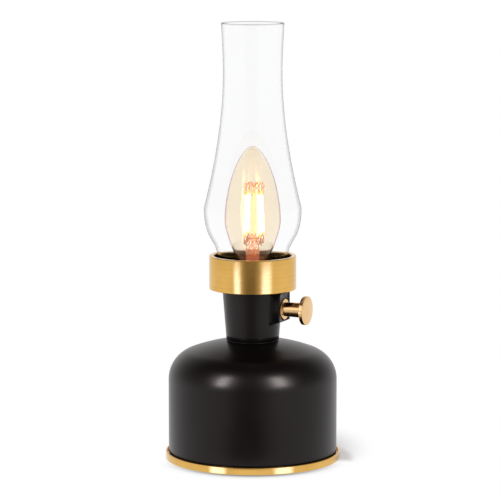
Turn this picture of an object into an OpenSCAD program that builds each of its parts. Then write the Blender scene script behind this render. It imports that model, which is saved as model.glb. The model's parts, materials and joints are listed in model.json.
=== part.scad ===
// Battery lantern in the shape of an old oil lamp: a black domed body on a brass foot ring, a tapered
// neck with a brass dimmer knob, a brass gallery, a clear chimney and a candle bulb.
// The origin is on the floor under the lamp's axis, +Z is up and the knob points along +X.

/* [Foot ring] */
// How far the rubber foot stands out below the base plate
foot_h = 0.6; // [0.4:0.1:1.2]
// Depth of the groove that holds the rubber foot
foot_inset = 0.8; // [0.5:0.1:0.9]
// Width of the rubber foot
foot_w = 3; // [2:0.5:3]
// Height of the brass ring from its lower edge to the top of its lip
ring_h = 4.2; // [3.5:0.1:5.5]
// Gap between the ring's lower edge and the table
ring_gap = 0.2; // [0.1:0.1:0.3]
// Thickness of the brass lip
lip_t = 1.2; // [1:0.1:2]
// Dark gap between the lip and the body wall
lip_gap = 0.8; // [0.5:0.1:1.5]
// Width of the brass web that is clamped under the body
web_w = 4.5; // [4:0.5:5]
// Thickness of that web
web_t = 1; // [0.8:0.1:1.2]

/* [Body shell] */
// Radius of the straight body wall
body_r = 53; // [52:0.5:60]
// Height of the straight wall above the brass web
wall_h = 47.8; // [40:0.5:60]
// Radius of the shoulder
shoulder_r = 19.6; // [16:0.2:22]
// Rise of the crown above the top of the straight wall
crown_rise = 25.6; // [25:0.2:27]
// Thickness of the drawn metal
shell_t = 1.2; // [0.8:0.1:1.6]
// Width of the flange turned in at the bottom
flange_w = 12; // [11.5:0.5:12.5]

/* [Base plate] */
// Thickness of the plate rim under the brass web
rim_t = 1; // [0.8:0.1:1.4]
// Assembly clearance between the moulded plate and the metal round it
plate_fit = 0.3; // [0.2:0.1:0.5]
// Number of screws that hold the base together
base_screws = 4; // [3:1:6]
// Distance of those screws inside the body wall
screw_inset = 9.4; // [9:0.1:9.6]

/* [Battery box] */
// Radius of a round cell
cell_r = 7.1; // [6.8:0.05:7.25]
// Length of a cell with its button
cell_len = 50.5; // [48:0.5:51]
// Clearance round each cell
cell_clear = 0.3; // [0.2:0.05:0.5]
// Thickness of the web between two cell channels
cell_web = 0.8; // [0.6:0.1:1.2]
// Wall of the battery box
box_wall = 1.8; // [1.4:0.1:2]
// Room that a compressed contact spring takes
spring_len = 5.2; // [4.8:0.1:5.6]
// Radius of a contact spring to the middle of its wire
spring_r = 2.9; // [2.5:0.1:3.2]
// Diameter of the spring wire
spring_wire = 0.6; // [0.5:0.05:0.65]
// Turns of a contact spring
spring_turns = 3; // [2:0.5:3]
// Thickness of the sheet contacts
contact_t = 0.4; // [0.3:0.05:0.5]

/* [Battery door] */
// Thickness of the door
door_t = 1.5; // [1.3:0.1:1.8]
// Clearance round the door
door_gap = 0.4; // [0.3:0.05:0.6]
// Width of the ledge that the door closes against
ledge_w = 2.6; // [2.2:0.1:2.8]
// Radius of the rolled edge that the door turns on
bead_r = 1.4; // [1.2:0.05:1.5]
// Length of the rolled edge
bead_l = 40; // [30:1:41]
// Radius of the two hinge pins moulded on the rolled edge
hinge_pin_r = 0.8; // [0.6:0.05:0.9]
// Running clearance round the pins and the dimmer shaft
running_gap = 0.05; // [0.02:0.01:0.08]
// Thickness of the foam pad inside the door
pad_t = 1; // [0.6:0.1:1.2]
// Shank radius of the door screw
door_screw_r = 1.2; // [1:0.1:1.3]

/* [Neck] */
// Radius of the neck at its foot
neck_foot_r = 16.45; // [16:0.1:17]
// Radius of the neck at its top
neck_top_r = 19.1; // [18.5:0.1:20]
// Height of the neck above the body
neck_h = 33.6; // [32:0.2:36]
// Wall of the neck casting
neck_wall = 2.2; // [1.8:0.1:2.4]
// Height of the shadow groove at the neck's foot
groove_h = 0.9; // [0.6:0.1:1.5]
// Radius of the threaded spigot below the neck
spigot_r = 11.8; // [11:0.1:12.2]
// Radius of the bore that the wires pass through
wire_bore_r = 8.5; // [7.5:0.1:9]

/* [Knob] */
// Distance of the knob axis below the top of the neck
knob_drop = 12.4; // [12:0.1:13]
// Distance of the boss face from the lamp's axis
boss_x = 22; // [21.6:0.1:23]
// Width of the boss
boss_w = 18; // [17.6:0.1:19]
// Distance of the boss's underside below the knob axis
boss_below = 7.7; // [7.6:0.1:8.5]
// Radius on the boss's upright edges
boss_round = 1.4; // [0.8:0.1:2]
// Radius of the knob disc
disc_r = 9; // [8:0.1:10]
// Thickness of the disc at its edge
disc_edge = 1.9; // [1.2:0.1:2.4]
// Width of the bevel on the disc's face
bevel_w = 1.9; // [1:0.1:3]
// Height of that bevel
bevel_h = 0.4; // [0.2:0.1:1]
// Radius of the stem beside the boss
stem_r = 3.8; // [3.6:0.1:4.2]
// Radius of the stem behind the disc
stem_end_r = 4.2; // [4:0.1:4.6]
// Length of the stem outside the boss
stem_len = 13.1; // [11:0.1:16]
// Radius of the flange that covers the boss recess
skirt_r = 6.6; // [6.3:0.1:6.8]
// Dark gap round that flange
skirt_gap = 0.7; // [0.4:0.1:0.9]
// Radius of the dimmer shaft
shaft_r = 2; // [1.8:0.1:2.2]
// Radius of the dimmer's threaded bush
bush_r = 3.4; // [3.2:0.05:3.5]
// Radius of the dimmer's body
dimmer_r = 5.4; // [5:0.1:5.6]

/* [Gallery] */
// Outside radius of the brass gallery ring
gallery_r = 27.35; // [26.5:0.1:30]
// Height of the gallery ring
gallery_h = 21.1; // [18:0.1:26]
// Wall of the gallery ring
gallery_t = 1.2; // [0.8:0.1:1.6]
// Width of the ring's thick top rim
rim_w = 2.9; // [2.5:0.1:3.2]
// Height of that rim
rim_h = 2; // [1.5:0.1:4]
// How far the ring hangs below the top of the neck
gallery_drop = 0.6; // [0.3:0.1:1]
// Thickness of the floor of the black cup inside the ring
cup_floor = 1.6; // [1.2:0.1:2]
// Glue gap between the ring and the cup
glue_gap = 0.1; // [0.05:0.05:0.2]

/* [Chimney] */
// Outside radius of the straight glass foot
glass_foot_r = 22; // [21.5:0.1:22.5]
// Thickness of the glass
glass_t = 1.3; // [1:0.1:1.6]
// Length of the straight glass foot
glass_foot_len = 14.6; // [13:0.1:18]
// Greatest outside radius
belly_r = 30.5; // [29:0.1:33]
// Height of the belly above the glass foot
belly_h = 31.9; // [29:0.1:36]
// Outside radius at the waist
waist_r = 18.45; // [18:0.05:20]
// Height of the waist above the belly
waist_h = 84.7; // [80:0.1:95]
// Outside radius at the top rim
mouth_r = 19.55; // [19:0.05:22]
// Height of the top rim above the waist
mouth_h = 31.2; // [26:0.1:36]
// Thickness of the fire-polished top rim
mouth_bead = 1.7; // [1.6:0.1:2.2]
// Gap under the glass and beside its foot
glass_gap = 0.3; // [0.2:0.05:0.5]
// Thickness of the cushion under the glass
cushion_t = 1.6; // [1:0.1:2]

/* [Lamp holder] */
// Outside radius of the holder's sleeve
holder_r = 10; // [9.6:0.1:10.2]
// Depth of the holder's floor below the cup
holder_depth = 13; // [12:0.1:13.4]
// Thickness of the holder's floor
holder_floor = 3; // [2:0.1:3]
// Radius of the holder's fixing flange
holder_flange_r = 16.2; // [15.8:0.1:17]
// Distance of the fixing screws from the lamp's axis
holder_screw_y = 13.2; // [13:0.05:13.4]

/* [Bulb] */
// Greatest radius of the bulb
bulb_r = 17.5; // [16:0.1:18]
// Length of the bulb with its cap
bulb_len = 98; // [92:0.5:105]
// Height of the widest place above the cap's tip
bulb_belly = 50.8; // [48:0.1:56]
// Thickness of the bulb's glass
bulb_t = 0.8; // [0.6:0.1:1]
// Height of the metal cap with its contact
cap_h = 25.7; // [25:0.1:27]
// Outside radius of the cap's thread
thread_r = 6.94; // [6.85:0.01:7]
// Depth of the cap's thread
thread_depth = 0.75; // [0.5:0.05:0.8]
// Distance from one thread crest to the next
thread_pitch = 2.82; // [2.6:0.02:3]
// Gap between the cap's thread and the holder's
thread_gap = 0.3; // [0.25:0.05:0.35]
// Radius of the cap's flared collar
collar_r = 8.5; // [8.3:0.1:9]
// Radius of the glass neck inside the collar
bulb_neck_r = 6.7; // [6.4:0.05:7.8]
// Radius of the glass stem that carries the filaments
stem_glass_r = 4.2; // [3.5:0.1:4.6]
// Height of that stem's top above the cap's tip
stem_glass_h = 39.5; // [36:0.5:40]
// Number of filaments
filaments = 4; // [4]
// Length of a filament
filament_len = 25; // [22:0.5:28]
// Radius of a filament
filament_r = 0.85; // [0.6:0.05:1]
// Height of the filaments' lower ends above the stem
filament_rise = 2.5; // [2:0.1:4]
// Height of the support's top above the filaments
support_rise = 4.5; // [3:0.1:6]
// Radius of the circle of filaments at their lower ends
filament_low = 7; // [5.5:0.1:7.5]
// Radius of that circle at their upper ends
filament_high = 5.6; // [4:0.1:6.5]
// Direction of the first filament, in degrees from the knob
filament_turn = 56.5; // [0:0.5:90]

/* [Driver board] */
// Length of the board
board_l = 44; // [40:1:46]
// Width of the board
board_w = 30; // [26:1:32]
// Thickness of the board
board_t = 1.6; // [1:0.2:2]
// Height of the posts under the board
post_h = 4.2; // [4:0.2:8]
// Radius of an insulated wire
wire_r = 0.7; // [0.5:0.1:0.8]

/* [Fasteners] */
// Shank radius of the machine screws
screw_r = 1.5; // [1.25:0.05:1.5]
// Head radius of the machine screws
screw_head_r = 2.7; // [2.5:0.1:2.8]
// Head height of the machine screws
screw_head_h = 1.1; // [0.9:0.1:1.2]
// Radial gap between a shank and the thread that it is screwed in
thread_fit = 0.02; // [0.01:0.01:0.05]
// Radial clearance of a plain screw hole
hole_clear = 0.2; // [0.1:0.05:0.3]

/* [Hidden] */
$fn = 96;

BRASS = [0.84, 0.65, 0.35];
POLISHED_BRASS = [0.91, 0.75, 0.52];
BLACK_METAL = [0.12, 0.11, 0.11];
BLACK_PLASTIC = [0.09, 0.09, 0.09];
RUBBER = [0.14, 0.14, 0.14];
STEEL = [0.72, 0.73, 0.75];
GLASS = [0.93, 0.95, 0.96, 0.3];
AMBER_GLASS = [0.98, 0.86, 0.72, 0.4];
GLOW = [1, 0.93, 0.6];
COPPER = [0.78, 0.35, 0.26];
BOARD_GREEN = [0.12, 0.36, 0.22];

// Points per curve
CURVE = 28;
// Overlap of a cut past the face that it opens
CUT = 1;

// Levels of the base, from the floor up
plate_z = foot_h;
web_z = plate_z + rim_t;
web_top = web_z + web_t;
flange_top = web_top + shell_t;
ring_r = body_r + lip_gap + lip_t;
web_in_r = ring_r - web_w;
flange_in_r = body_r - flange_w;
plate_rim_r = ring_r - lip_t - plate_fit;
plate_r = web_in_r - plate_fit;
plate_in_r = flange_in_r - plate_fit;
screw_circle = body_r - screw_inset;
foot_out_r = plate_r - 0.4;
foot_in_r = foot_out_r - foot_w;

// Body shell: the crown arc runs tangent into the shoulder arc
wall_top = web_top + wall_h;
shoulder_c = body_r - shoulder_r;
crown_r = (shoulder_r * shoulder_r - shoulder_c * shoulder_c - crown_rise * crown_rise)
    / (2 * (shoulder_r - crown_rise));
crown_c = wall_top + crown_rise - crown_r;
tangent_a = atan2(wall_top - crown_c, shoulder_c);
seat_r = neck_foot_r + 0.45;
seat_z = crown_c + sqrt(crown_r * crown_r - seat_r * seat_r);
seat_under = seat_z - shell_t;

// Neck, gallery and chimney
neck_top = seat_z + neck_h;
washer_t = 1;
neck_nut_h = 5;
spigot_bottom = seat_under - washer_t - neck_nut_h - 1;
neck_floor = seat_z + 3;
knob_z = neck_top - knob_drop;
cup_top = neck_top - gallery_drop + gallery_h - rim_h;
gallery_top = cup_top + rim_h;
gallery_bottom = neck_top - gallery_drop;
rim_in_r = gallery_r - rim_w;
cup_r = gallery_r - gallery_t - glue_gap;
cup_in_r = rim_in_r + 0.15;
cup_floor_top = neck_top + cup_floor;
cushion_top = cup_floor_top + cushion_t;
glass_z = cushion_top + glass_gap;
throat_z = glass_z + glass_foot_len;
belly_z = throat_z + belly_h;
waist_z = belly_z + waist_h;
mouth_z = waist_z + mouth_h;

// Lamp holder and bulb
holder_floor_z = cup_floor_top - holder_depth;
contact_rise = 2.2;
bulb_z = holder_floor_z + contact_rise + 0.3;
cap_top = bulb_z + cap_h;
flare_z = cap_top - 7.2;
holder_top = flare_z - 0.5;
holder_shell_r = thread_r + thread_gap + 0.55;
holder_flange_t = 2.2;
cap_z = bulb_z + 2.8;
thread_z = cap_z + 1.6;
thread_top = flare_z - 1.6;
glass_neck_z = cap_top - 5;
bulb_belly_z = bulb_z + bulb_belly;
bulb_tip = bulb_z + bulb_len;
stem_top = bulb_z + stem_glass_h;
filament_z = stem_top + filament_rise;
filament_top = filament_z + filament_len;
frame_top = filament_top + support_rise;

// Knob and dimmer, along X
recess_depth = 3.2;
recess_r = skirt_r + skirt_gap;
recess_x = boss_x - recess_depth;
boss_wall = 2;
dimmer_x = recess_x - boss_wall;
dimmer_back = dimmer_x - 4.6;
bush_end = recess_x + 2.1;
skirt_x = boss_x - 0.7;
skirt_t = 1;
stem_x = skirt_x + skirt_t;
disc_x = boss_x + 0.2 + stem_len;
knob_tip = disc_x + disc_edge + bevel_h;
stem_spigot = 1.2;
shaft_end = disc_x - 2.5;

// Battery box and door
cell_pitch = 2 * (cell_r + cell_clear) + cell_web;
box_l = cell_len + 2 * contact_t + spring_len;
channel_r = cell_r + cell_clear;
box_half_w = cell_pitch + channel_r;
box_r = channel_r + box_wall;
cell_z = plate_z + door_t + pad_t + 0.3 + cell_r;
box_top = cell_z + box_r;
ledge_z = plate_z + door_t + 0.3;
door_half_w = box_half_w + ledge_w - door_gap;
door_front = box_l / 2 + ledge_w;
door_step = -(box_l / 2 - 1.2);
hinge_x = -(box_l / 2 + 4.3);
hinge_z = plate_z + bead_r;
bead_gap = 0.6;
hinge_pin_l = 1.5;
tab_w = 10;
tab_x = door_front + 4.6;
door_screw_x = door_front + 1.6;
boss_top = flange_top + 3.4;
contact_half = 5;
nub_h = 1.2;
nub_r = 2.7;
board_z = box_top + post_h;
terminal_top = cell_z + box_r + 1.4;
post_x = board_l / 2 - 3.5;
post_y = board_w / 2 - 3.5;
post_r = 2.4;
board_screw_r = 1;

function bezier(a, b, c, d, n = CURVE) = [for (i = [0:n]) let (t = i / n, u = 1 - t)
    u * u * u * a + 3 * u * u * t * b + 3 * u * t * t * c + t * t * t * d];
function arc(c, r, from, to, n = CURVE) = [for (i = [0:n]) let (a = from + (to - from) * i / n)
    c + r * [cos(a), sin(a)]];
function reversed(list) = [for (i = [len(list) - 1:-1:0]) list[i]];
function tail(list) = [for (i = [1:len(list) - 1]) list[i]];

// Each point of an outline moved inwards, square to the outline there
function inset(list, t) = [for (i = [0:len(list) - 1])
    let (a = list[max(i - 1, 0)], b = list[min(i + 1, len(list) - 1)], d = (b - a) / norm(b - a))
    list[i] + t * [-d[1], d[0]]];

function rounded_rectangle(l, w, r) = concat(
    arc([l / 2 - r, w / 2 - r], r, 0, 90, 6), arc([r - l / 2, w / 2 - r], r, 90, 180, 6),
    arc([r - l / 2, r - w / 2], r, 180, 270, 6), arc([l / 2 - r, r - w / 2], r, 270, 360, 6));

// Thread seen in section: the radius swings once between crest and root in each pitch
function thread_section(crest, z0, z1) = let (n = 6 * ceil((z1 - z0) / thread_pitch))
    [for (i = [0:n]) let (z = z0 + (z1 - z0) * i / n)
        [crest - thread_depth / 2 + thread_depth / 2 * cos(360 * (z - z0) / thread_pitch), z]];

module turned(points) {
    rotate_extrude() polygon(points);
}

module along_x(x, z = knob_z) {
    translate([x, 0, z]) rotate([0, 90, 0]) children();
}

module tube_ring(outer, inner, z0, z1) {
    translate([0, 0, z0]) difference() {
        cylinder(r = outer, h = z1 - z0);
        translate([0, 0, -CUT]) cylinder(r = inner, h = z1 - z0 + 2 * CUT);
    }
}

// Straight round rod between two points
module rod(from, to, r) {
    d = to - from;
    translate(from) rotate([0, acos(d[2] / norm(d)), atan2(d[1], d[0])])
        cylinder(r = r, h = norm(d), $fn = 24);
}

// Closed tube with flat ends along a list of points
function unit(v) = v / norm(v);
function direction(p, i) = unit(p[min(i + 1, len(p) - 1)] - p[max(i - 1, 0)]);
module swept_tube(path, r, sides, side_axis) {
    n = len(path);
    rings = [for (i = [0:n - 1]) let (d = direction(path, i), u = unit(cross(d, side_axis)), v = cross(d, u))
        each [for (k = [0:sides - 1]) let (a = 360 * k / sides) path[i] + r * (cos(a) * u + sin(a) * v)]];
    walls = [for (i = [0:n - 2], k = [0:sides - 1]) let (a = i * sides + k, b = i * sides + (k + 1) % sides)
        each [[a, b, b + sides], [a, b + sides, a + sides]]];
    start = [for (k = [1:sides - 2]) [0, k + 1, k]];
    stop = [for (k = [1:sides - 2]) (n - 1) * sides * [1, 1, 1] + [0, k, k + 1]];
    polyhedron(points = rings, faces = concat(walls, start, stop));
}

// A wire that leaves and arrives upright, with an upright stretch at a middle point if it has one
END_UP = [0, 0, 0.4];
function curve_up(from, to, rise, fall) = bezier(from, from + [0, 0, rise], to - [0, 0, fall], to, 12);
module lead(from, to, rise, fall) {
    swept_tube(concat([from], curve_up(from + END_UP, to - sign(fall) * END_UP, rise, fall), [to]),
        wire_r, 6, [0, 1, 0]);
}
module lead_through(from, middle, to, rise, fall) {
    swept_tube(concat([from], curve_up(from + END_UP, middle, rise, rise),
        curve_up(middle + 2 * END_UP, to - END_UP, fall, fall), [to]), wire_r, 6, [0, 1, 0]);
}

// The base

module base_ring() {
    edge = 0.3;
    lip_top = ring_gap + ring_h;
    color(BRASS) turned(concat(
        [[ring_r - lip_t, ring_gap], [ring_r - edge, ring_gap], [ring_r, ring_gap + edge]],
        arc([ring_r - lip_t / 2, lip_top - lip_t / 2], lip_t / 2, 0, 180, 10),
        [[ring_r - lip_t, web_top], [web_in_r, web_top], [web_in_r, web_z], [ring_r - lip_t, web_z]]));
}

module rubber_foot() {
    round_r = 0.3;
    color(RUBBER) turned([[foot_in_r + round_r, 0], [foot_out_r - round_r, 0], [foot_out_r, round_r],
        [foot_out_r, plate_z + foot_inset], [foot_in_r, plate_z + foot_inset], [foot_in_r, round_r]]);
}

module round_base_screws() {
    for (i = [0:base_screws - 1]) rotate([0, 0, 360 * i / base_screws]) translate([screw_circle, 0, 0])
        children();
}

// Section of the battery box: three round roofs side by side
function box_outside() = let (a = acos(cell_pitch / 2 / box_r)) concat([[-cell_pitch - box_r, plate_z + 0.5]],
    arc([-cell_pitch, cell_z], box_r, 180, a, 12), arc([0, cell_z], box_r, 180 - a, a, 12),
    arc([cell_pitch, cell_z], box_r, 180 - a, 0, 12), [[cell_pitch + box_r, plate_z + 0.5]]);
function box_inside() = concat([[-box_half_w, plate_z]], arc([-cell_pitch, cell_z], channel_r, 180, 0, 14),
    arc([0, cell_z], channel_r, 180, 0, 14), arc([cell_pitch, cell_z], channel_r, 180, 0, 14),
    [[box_half_w, plate_z]]);

module across_box(length, section) {
    translate([-length / 2, 0, 0]) rotate([90, 0, 90]) linear_extrude(length) polygon(section);
}

// Outline of the door, or of its recess when it is grown by the gap
module door_outline(grow) {
    translate([door_step - grow, -door_half_w - grow])
        square([door_front - door_step + 2 * grow, 2 * door_half_w + 2 * grow]);
    translate([hinge_x, -bead_l / 2 - grow]) square([door_front - hinge_x, bead_l + 2 * grow]);
    translate([0, -tab_w / 2 - grow]) square([tab_x + grow, tab_w + 2 * grow]);
}

module box_posts(r, z0, z1) {
    for (x = [-post_x, post_x], y = [-post_y, post_y]) translate([x, y, z0]) cylinder(r = r, h = z1 - z0);
}

module base_plate() {
    hinge_roof = hinge_z + bead_r + bead_gap + 1.3;
    hinge_half = bead_l / 2 + door_gap + hinge_pin_l + 1;
    color(BLACK_PLASTIC) difference() {
        union() {
            translate([0, 0, plate_z]) cylinder(r = plate_rim_r, h = rim_t);
            translate([0, 0, plate_z]) cylinder(r = plate_r, h = web_top - plate_z);
            translate([0, 0, plate_z]) cylinder(r = plate_in_r, h = flange_top - plate_z);
            across_box(box_l + 2 * box_wall, box_outside());
            intersection() {
                translate([hinge_x - bead_r - 2, -hinge_half, plate_z + 0.5])
                    cube([2 * bead_r + 4, 2 * hinge_half, hinge_roof - plate_z - 0.5]);
                translate([0, 0, plate_z]) cylinder(r = plate_in_r, h = hinge_roof);
            }
            translate([door_screw_x, 0, plate_z + 0.5]) cylinder(r = 3.4, h = boss_top - plate_z - 0.5);
            box_posts(post_r, cell_z, board_z);
        }
        tube_ring(foot_out_r, foot_in_r, plate_z - CUT, plate_z + foot_inset);
        round_base_screws() {
            translate([0, 0, plate_z - CUT]) cylinder(r = screw_r + hole_clear, h = web_top - plate_z + 2 * CUT);
            translate([0, 0, plate_z - CUT])
                cylinder(r = screw_head_r + hole_clear, h = screw_head_h + 0.1 + CUT);
        }
        translate([0, 0, plate_z - CUT]) linear_extrude(ledge_z - plate_z + CUT) door_outline(door_gap);
        translate([hinge_x - bead_r - bead_gap, -bead_l / 2 - door_gap, plate_z - CUT])
            cube([2 * (bead_r + bead_gap), bead_l + 2 * door_gap, 2 * bead_r + bead_gap + CUT]);
        translate([hinge_x, -bead_l / 2 - door_gap - hinge_pin_l, hinge_z]) rotate([-90, 0, 0])
            cylinder(r = hinge_pin_r + running_gap, h = bead_l + 2 * door_gap + 2 * hinge_pin_l);
        across_box(box_l, box_inside());
        for (x = [-box_l / 2, box_l / 2 - 2 * contact_t]) translate([x, -cell_pitch - contact_half - 0.2, plate_z])
            cube([2 * contact_t, 2 * (cell_pitch + contact_half + 0.2), cell_z + contact_half + 0.2 - plate_z]);
        for (side = [-1, 1]) translate([side * (box_l / 2 - contact_t) - contact_t, side * cell_pitch - 1.8, cell_z])
            cube([2 * contact_t, 3.6, box_r + CUT]);
        translate([door_screw_x, 0, plate_z])
            cylinder(r = door_screw_r + 0.45, h = boss_top - plate_z - 1);
        box_posts(board_screw_r + thread_fit, board_z - 4, board_z + CUT);
    }
}

module screw(r, head_r, head_h, length) {
    cylinder(r = head_r, h = head_h);
    cylinder(r = r, h = head_h + length);
}

module base_screws_set() {
    color(STEEL) round_base_screws() translate([0, 0, plate_z + 0.1])
        screw(screw_r, screw_head_r, screw_head_h, flange_top - plate_z + 2.6);
}

module clinch_nuts() {
    color(STEEL) round_base_screws() translate([0, 0, flange_top]) difference() {
        cylinder(r = screw_r + 1.6, h = 2.2, $fn = 6);
        translate([0, 0, -CUT]) cylinder(r = screw_r + thread_fit, h = 2.2 + 2 * CUT);
    }
}

// The body

module body_shell() {
    corner = shell_t + 0.8;
    outside = concat(arc([body_r - corner, web_top + corner], corner, 270, 360, 8),
        arc([shoulder_c, wall_top], shoulder_r, 0, tangent_a, 30),
        tail(arc([0, crown_c], crown_r, tangent_a, acos(seat_r / crown_r), 14)));
    inside = concat(arc([body_r - corner, web_top + corner], corner - shell_t, 270, 360, 8),
        arc([shoulder_c, wall_top], shoulder_r - shell_t, 0, tangent_a, 30),
        tail(arc([0, crown_c], crown_r - shell_t, tangent_a, acos(seat_r / crown_r) - 0.6, 14)));
    color(BLACK_METAL) difference() {
        turned(concat([[flange_in_r, web_top]], outside, [[spigot_r + 0.2, seat_z], [spigot_r + 0.2, seat_under],
            [seat_r - 0.8, seat_under]], reversed(inside), [[flange_in_r, flange_top]]));
        round_base_screws() translate([0, 0, web_top - CUT])
            cylinder(r = screw_r + hole_clear, h = shell_t + 2 * CUT);
    }
}

module neck_washer() {
    color(STEEL) tube_ring(spigot_r + 2.7, spigot_r + 0.2, seat_under - washer_t, seat_under);
}

module neck_nut() {
    z = seat_under - washer_t - neck_nut_h;
    color(STEEL) translate([0, 0, z]) difference() {
        cylinder(r = spigot_r + 4.2, h = neck_nut_h, $fn = 6);
        translate([0, 0, -CUT]) cylinder(r = spigot_r + thread_fit, h = neck_nut_h + 2 * CUT);
    }
}

// Outside radius of the neck cone at a height
function neck_at(z) = neck_foot_r + (neck_top_r - neck_foot_r) * (z - seat_z) / neck_h;

module boss_block() {
    bottom = knob_z - boss_below;
    intersection() {
        translate([boss_x / 2, 0, bottom]) linear_extrude(neck_top - bottom)
            polygon(rounded_rectangle(boss_x, boss_w, boss_round));
        translate([0, boss_w / 2 + CUT, 0]) rotate([90, 0, 0]) linear_extrude(boss_w + 2 * CUT)
            polygon(concat([[0, bottom]], arc([boss_x - 0.8, bottom + 0.8], 0.8, 270, 360, 6),
                [[boss_x, neck_top], [0, neck_top]]));
    }
}

module neck() {
    lug_w = 7;
    lug_bottom = neck_top - 10;
    inner = [[0, neck_floor], [neck_at(neck_floor) - neck_wall, neck_floor],
        [neck_top_r - neck_wall, neck_top], [neck_top_r - neck_wall, neck_top + CUT], [0, neck_top + CUT]];
    color(BLACK_METAL) difference() {
        union() {
            difference() {
                union() {
                    turned([[0, spigot_bottom], [spigot_r - 0.6, spigot_bottom], [spigot_r, spigot_bottom + 0.6],
                        [spigot_r, seat_z], [neck_foot_r - 0.6, seat_z], [neck_foot_r - 0.6, seat_z + groove_h],
                        [neck_at(seat_z + groove_h), seat_z + groove_h], [neck_top_r, neck_top], [0, neck_top]]);
                    boss_block();
                }
                turned(inner);
                translate([0, -boss_w / 2 + 1.8, knob_z - dimmer_r - 0.3])
                    cube([dimmer_x, boss_w - 3.6, neck_top - knob_z + dimmer_r + 0.3 + CUT]);
            }
            intersection() {
                for (side = [-1, 1]) translate([-lug_w / 2, side > 0 ? holder_r + 0.6 : -neck_top_r, lug_bottom])
                    cube([lug_w, neck_top_r - holder_r - 0.6, neck_top - lug_bottom]);
                translate([0, 0, lug_bottom - CUT])
                    cylinder(r = neck_at(lug_bottom) - 0.5, h = neck_top - lug_bottom + 2 * CUT);
            }
        }
        translate([0, 0, spigot_bottom - CUT]) cylinder(r = wire_bore_r, h = neck_floor - spigot_bottom + 2 * CUT);
        along_x(recess_x) cylinder(r = recess_r, h = recess_depth + CUT);
        along_x(dimmer_x - CUT) cylinder(r = bush_r + 0.1, h = boss_wall + 2 * CUT);
        for (side = [-1, 1]) translate([0, side * holder_screw_y, lug_bottom - CUT])
            cylinder(r = screw_r + thread_fit, h = neck_top - lug_bottom + 2 * CUT);
    }
}

// The gallery

module gallery_cup() {
    color(BLACK_METAL) difference() {
        turned([[holder_r + 0.3, neck_top], [cup_r - 0.5, neck_top], [cup_r, neck_top + 0.5], [cup_r, cup_top],
            [cup_in_r, cup_top], [cup_in_r, cup_floor_top], [holder_r + 0.3, cup_floor_top]]);
        for (side = [-1, 1]) translate([0, side * holder_screw_y, neck_top - CUT])
            cylinder(r = screw_r + hole_clear, h = cup_floor + 2 * CUT);
    }
}

module gallery_ring() {
    edge = 0.45;
    in_r = gallery_r - gallery_t;
    color(BRASS) turned(concat(
        [[in_r, gallery_bottom], [gallery_r - edge, gallery_bottom]],
        arc([gallery_r - edge, gallery_bottom + edge], edge, 290, 360, 5),
        arc([gallery_r - edge, gallery_top - edge], edge, 0, 90, 6),
        arc([rim_in_r + edge, gallery_top - edge], edge, 90, 180, 6),
        [[rim_in_r, cup_top], [in_r, cup_top]]));
}

module glass_cushion() {
    side = glass_foot_r + glass_gap;
    color(RUBBER) turned([[glass_foot_r - glass_t - 0.5, cup_floor_top], [cup_in_r - 0.1, cup_floor_top],
        [cup_in_r - 0.1, cushion_top + 3], [side + 0.6, cushion_top + 3.4], [side, cushion_top + 2.8],
        [side, cushion_top], [glass_foot_r - glass_t - 0.5, cushion_top]]);
}

// Outside outline of the chimney, from the throat up to just under the rim
function chimney_outside() = concat(
    bezier([glass_foot_r, throat_z], [glass_foot_r, throat_z + 0.4 * belly_h],
        [belly_r, belly_z - 0.64 * belly_h], [belly_r, belly_z]),
    tail(bezier([belly_r, belly_z], [belly_r, belly_z + 2], [waist_r, waist_z - waist_h / 2], [waist_r, waist_z])),
    tail(bezier([waist_r, waist_z], [waist_r, waist_z + 0.4 * mouth_h],
        [mouth_r - 0.4, mouth_z - 0.3 * mouth_h], [mouth_r, mouth_z - mouth_bead], 12)));

module chimney() {
    foot = glass_t / 2;
    outside = concat([[glass_foot_r, glass_z + foot]], chimney_outside());
    inside = inset(outside, glass_t);
    bead = mouth_bead / 2;
    color(GLASS) turned(concat(
        arc([glass_foot_r - foot, glass_z + foot], foot, 190, 350, 8), outside,
        arc([mouth_r - glass_t / 2 + 0.05, mouth_z - bead], bead, -20, 200, 14), reversed(inside)));
}

// The lamp holder

module holder_body() {
    top_in = holder_shell_r + 0.05;
    color(BLACK_PLASTIC) difference() {
        turned([[0, holder_floor_z - holder_floor], [holder_r - 1, holder_floor_z - holder_floor],
            [holder_r, holder_floor_z - holder_floor + 1], [holder_r, cup_floor_top],
            [holder_flange_r, cup_floor_top], [holder_flange_r, cup_floor_top + holder_flange_t],
            [holder_r, cup_floor_top + holder_flange_t], [holder_r, holder_top - 0.8], [holder_r - 0.8, holder_top],
            [top_in, holder_top], [top_in, holder_floor_z], [0, holder_floor_z]]);
        for (side = [-1, 1]) {
            translate([0, side * holder_screw_y, cup_floor_top - CUT])
                cylinder(r = screw_r + hole_clear, h = holder_flange_t + 2 * CUT);
            translate([side * 4.5, 0, holder_floor_z - holder_floor - CUT])
                cylinder(r = wire_r + 0.2, h = holder_floor + 2 * CUT);
        }
    }
}

module holder_shell() {
    z0 = thread_z - 1.4;
    section = thread_section(thread_r + thread_gap, thread_z, thread_top);
    color(BRASS) turned(concat([[holder_shell_r, z0], [holder_shell_r, holder_top - 0.2],
        [holder_shell_r - 0.5, holder_top - 0.2]], reversed(section), [[thread_r + thread_gap, z0]]));
}

module holder_contact() {
    strip = 0.4;
    rise = contact_rise - strip;
    color(STEEL) translate([0, 2, 0]) rotate([90, 0, 0]) linear_extrude(4) polygon([
        [-6, holder_floor_z], [-3.4, holder_floor_z], [-1.2, holder_floor_z + rise], [1.6, holder_floor_z + rise],
        [1.6, holder_floor_z + contact_rise], [-1.4, holder_floor_z + contact_rise],
        [-3.6, holder_floor_z + strip], [-6, holder_floor_z + strip]]);
}

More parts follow.
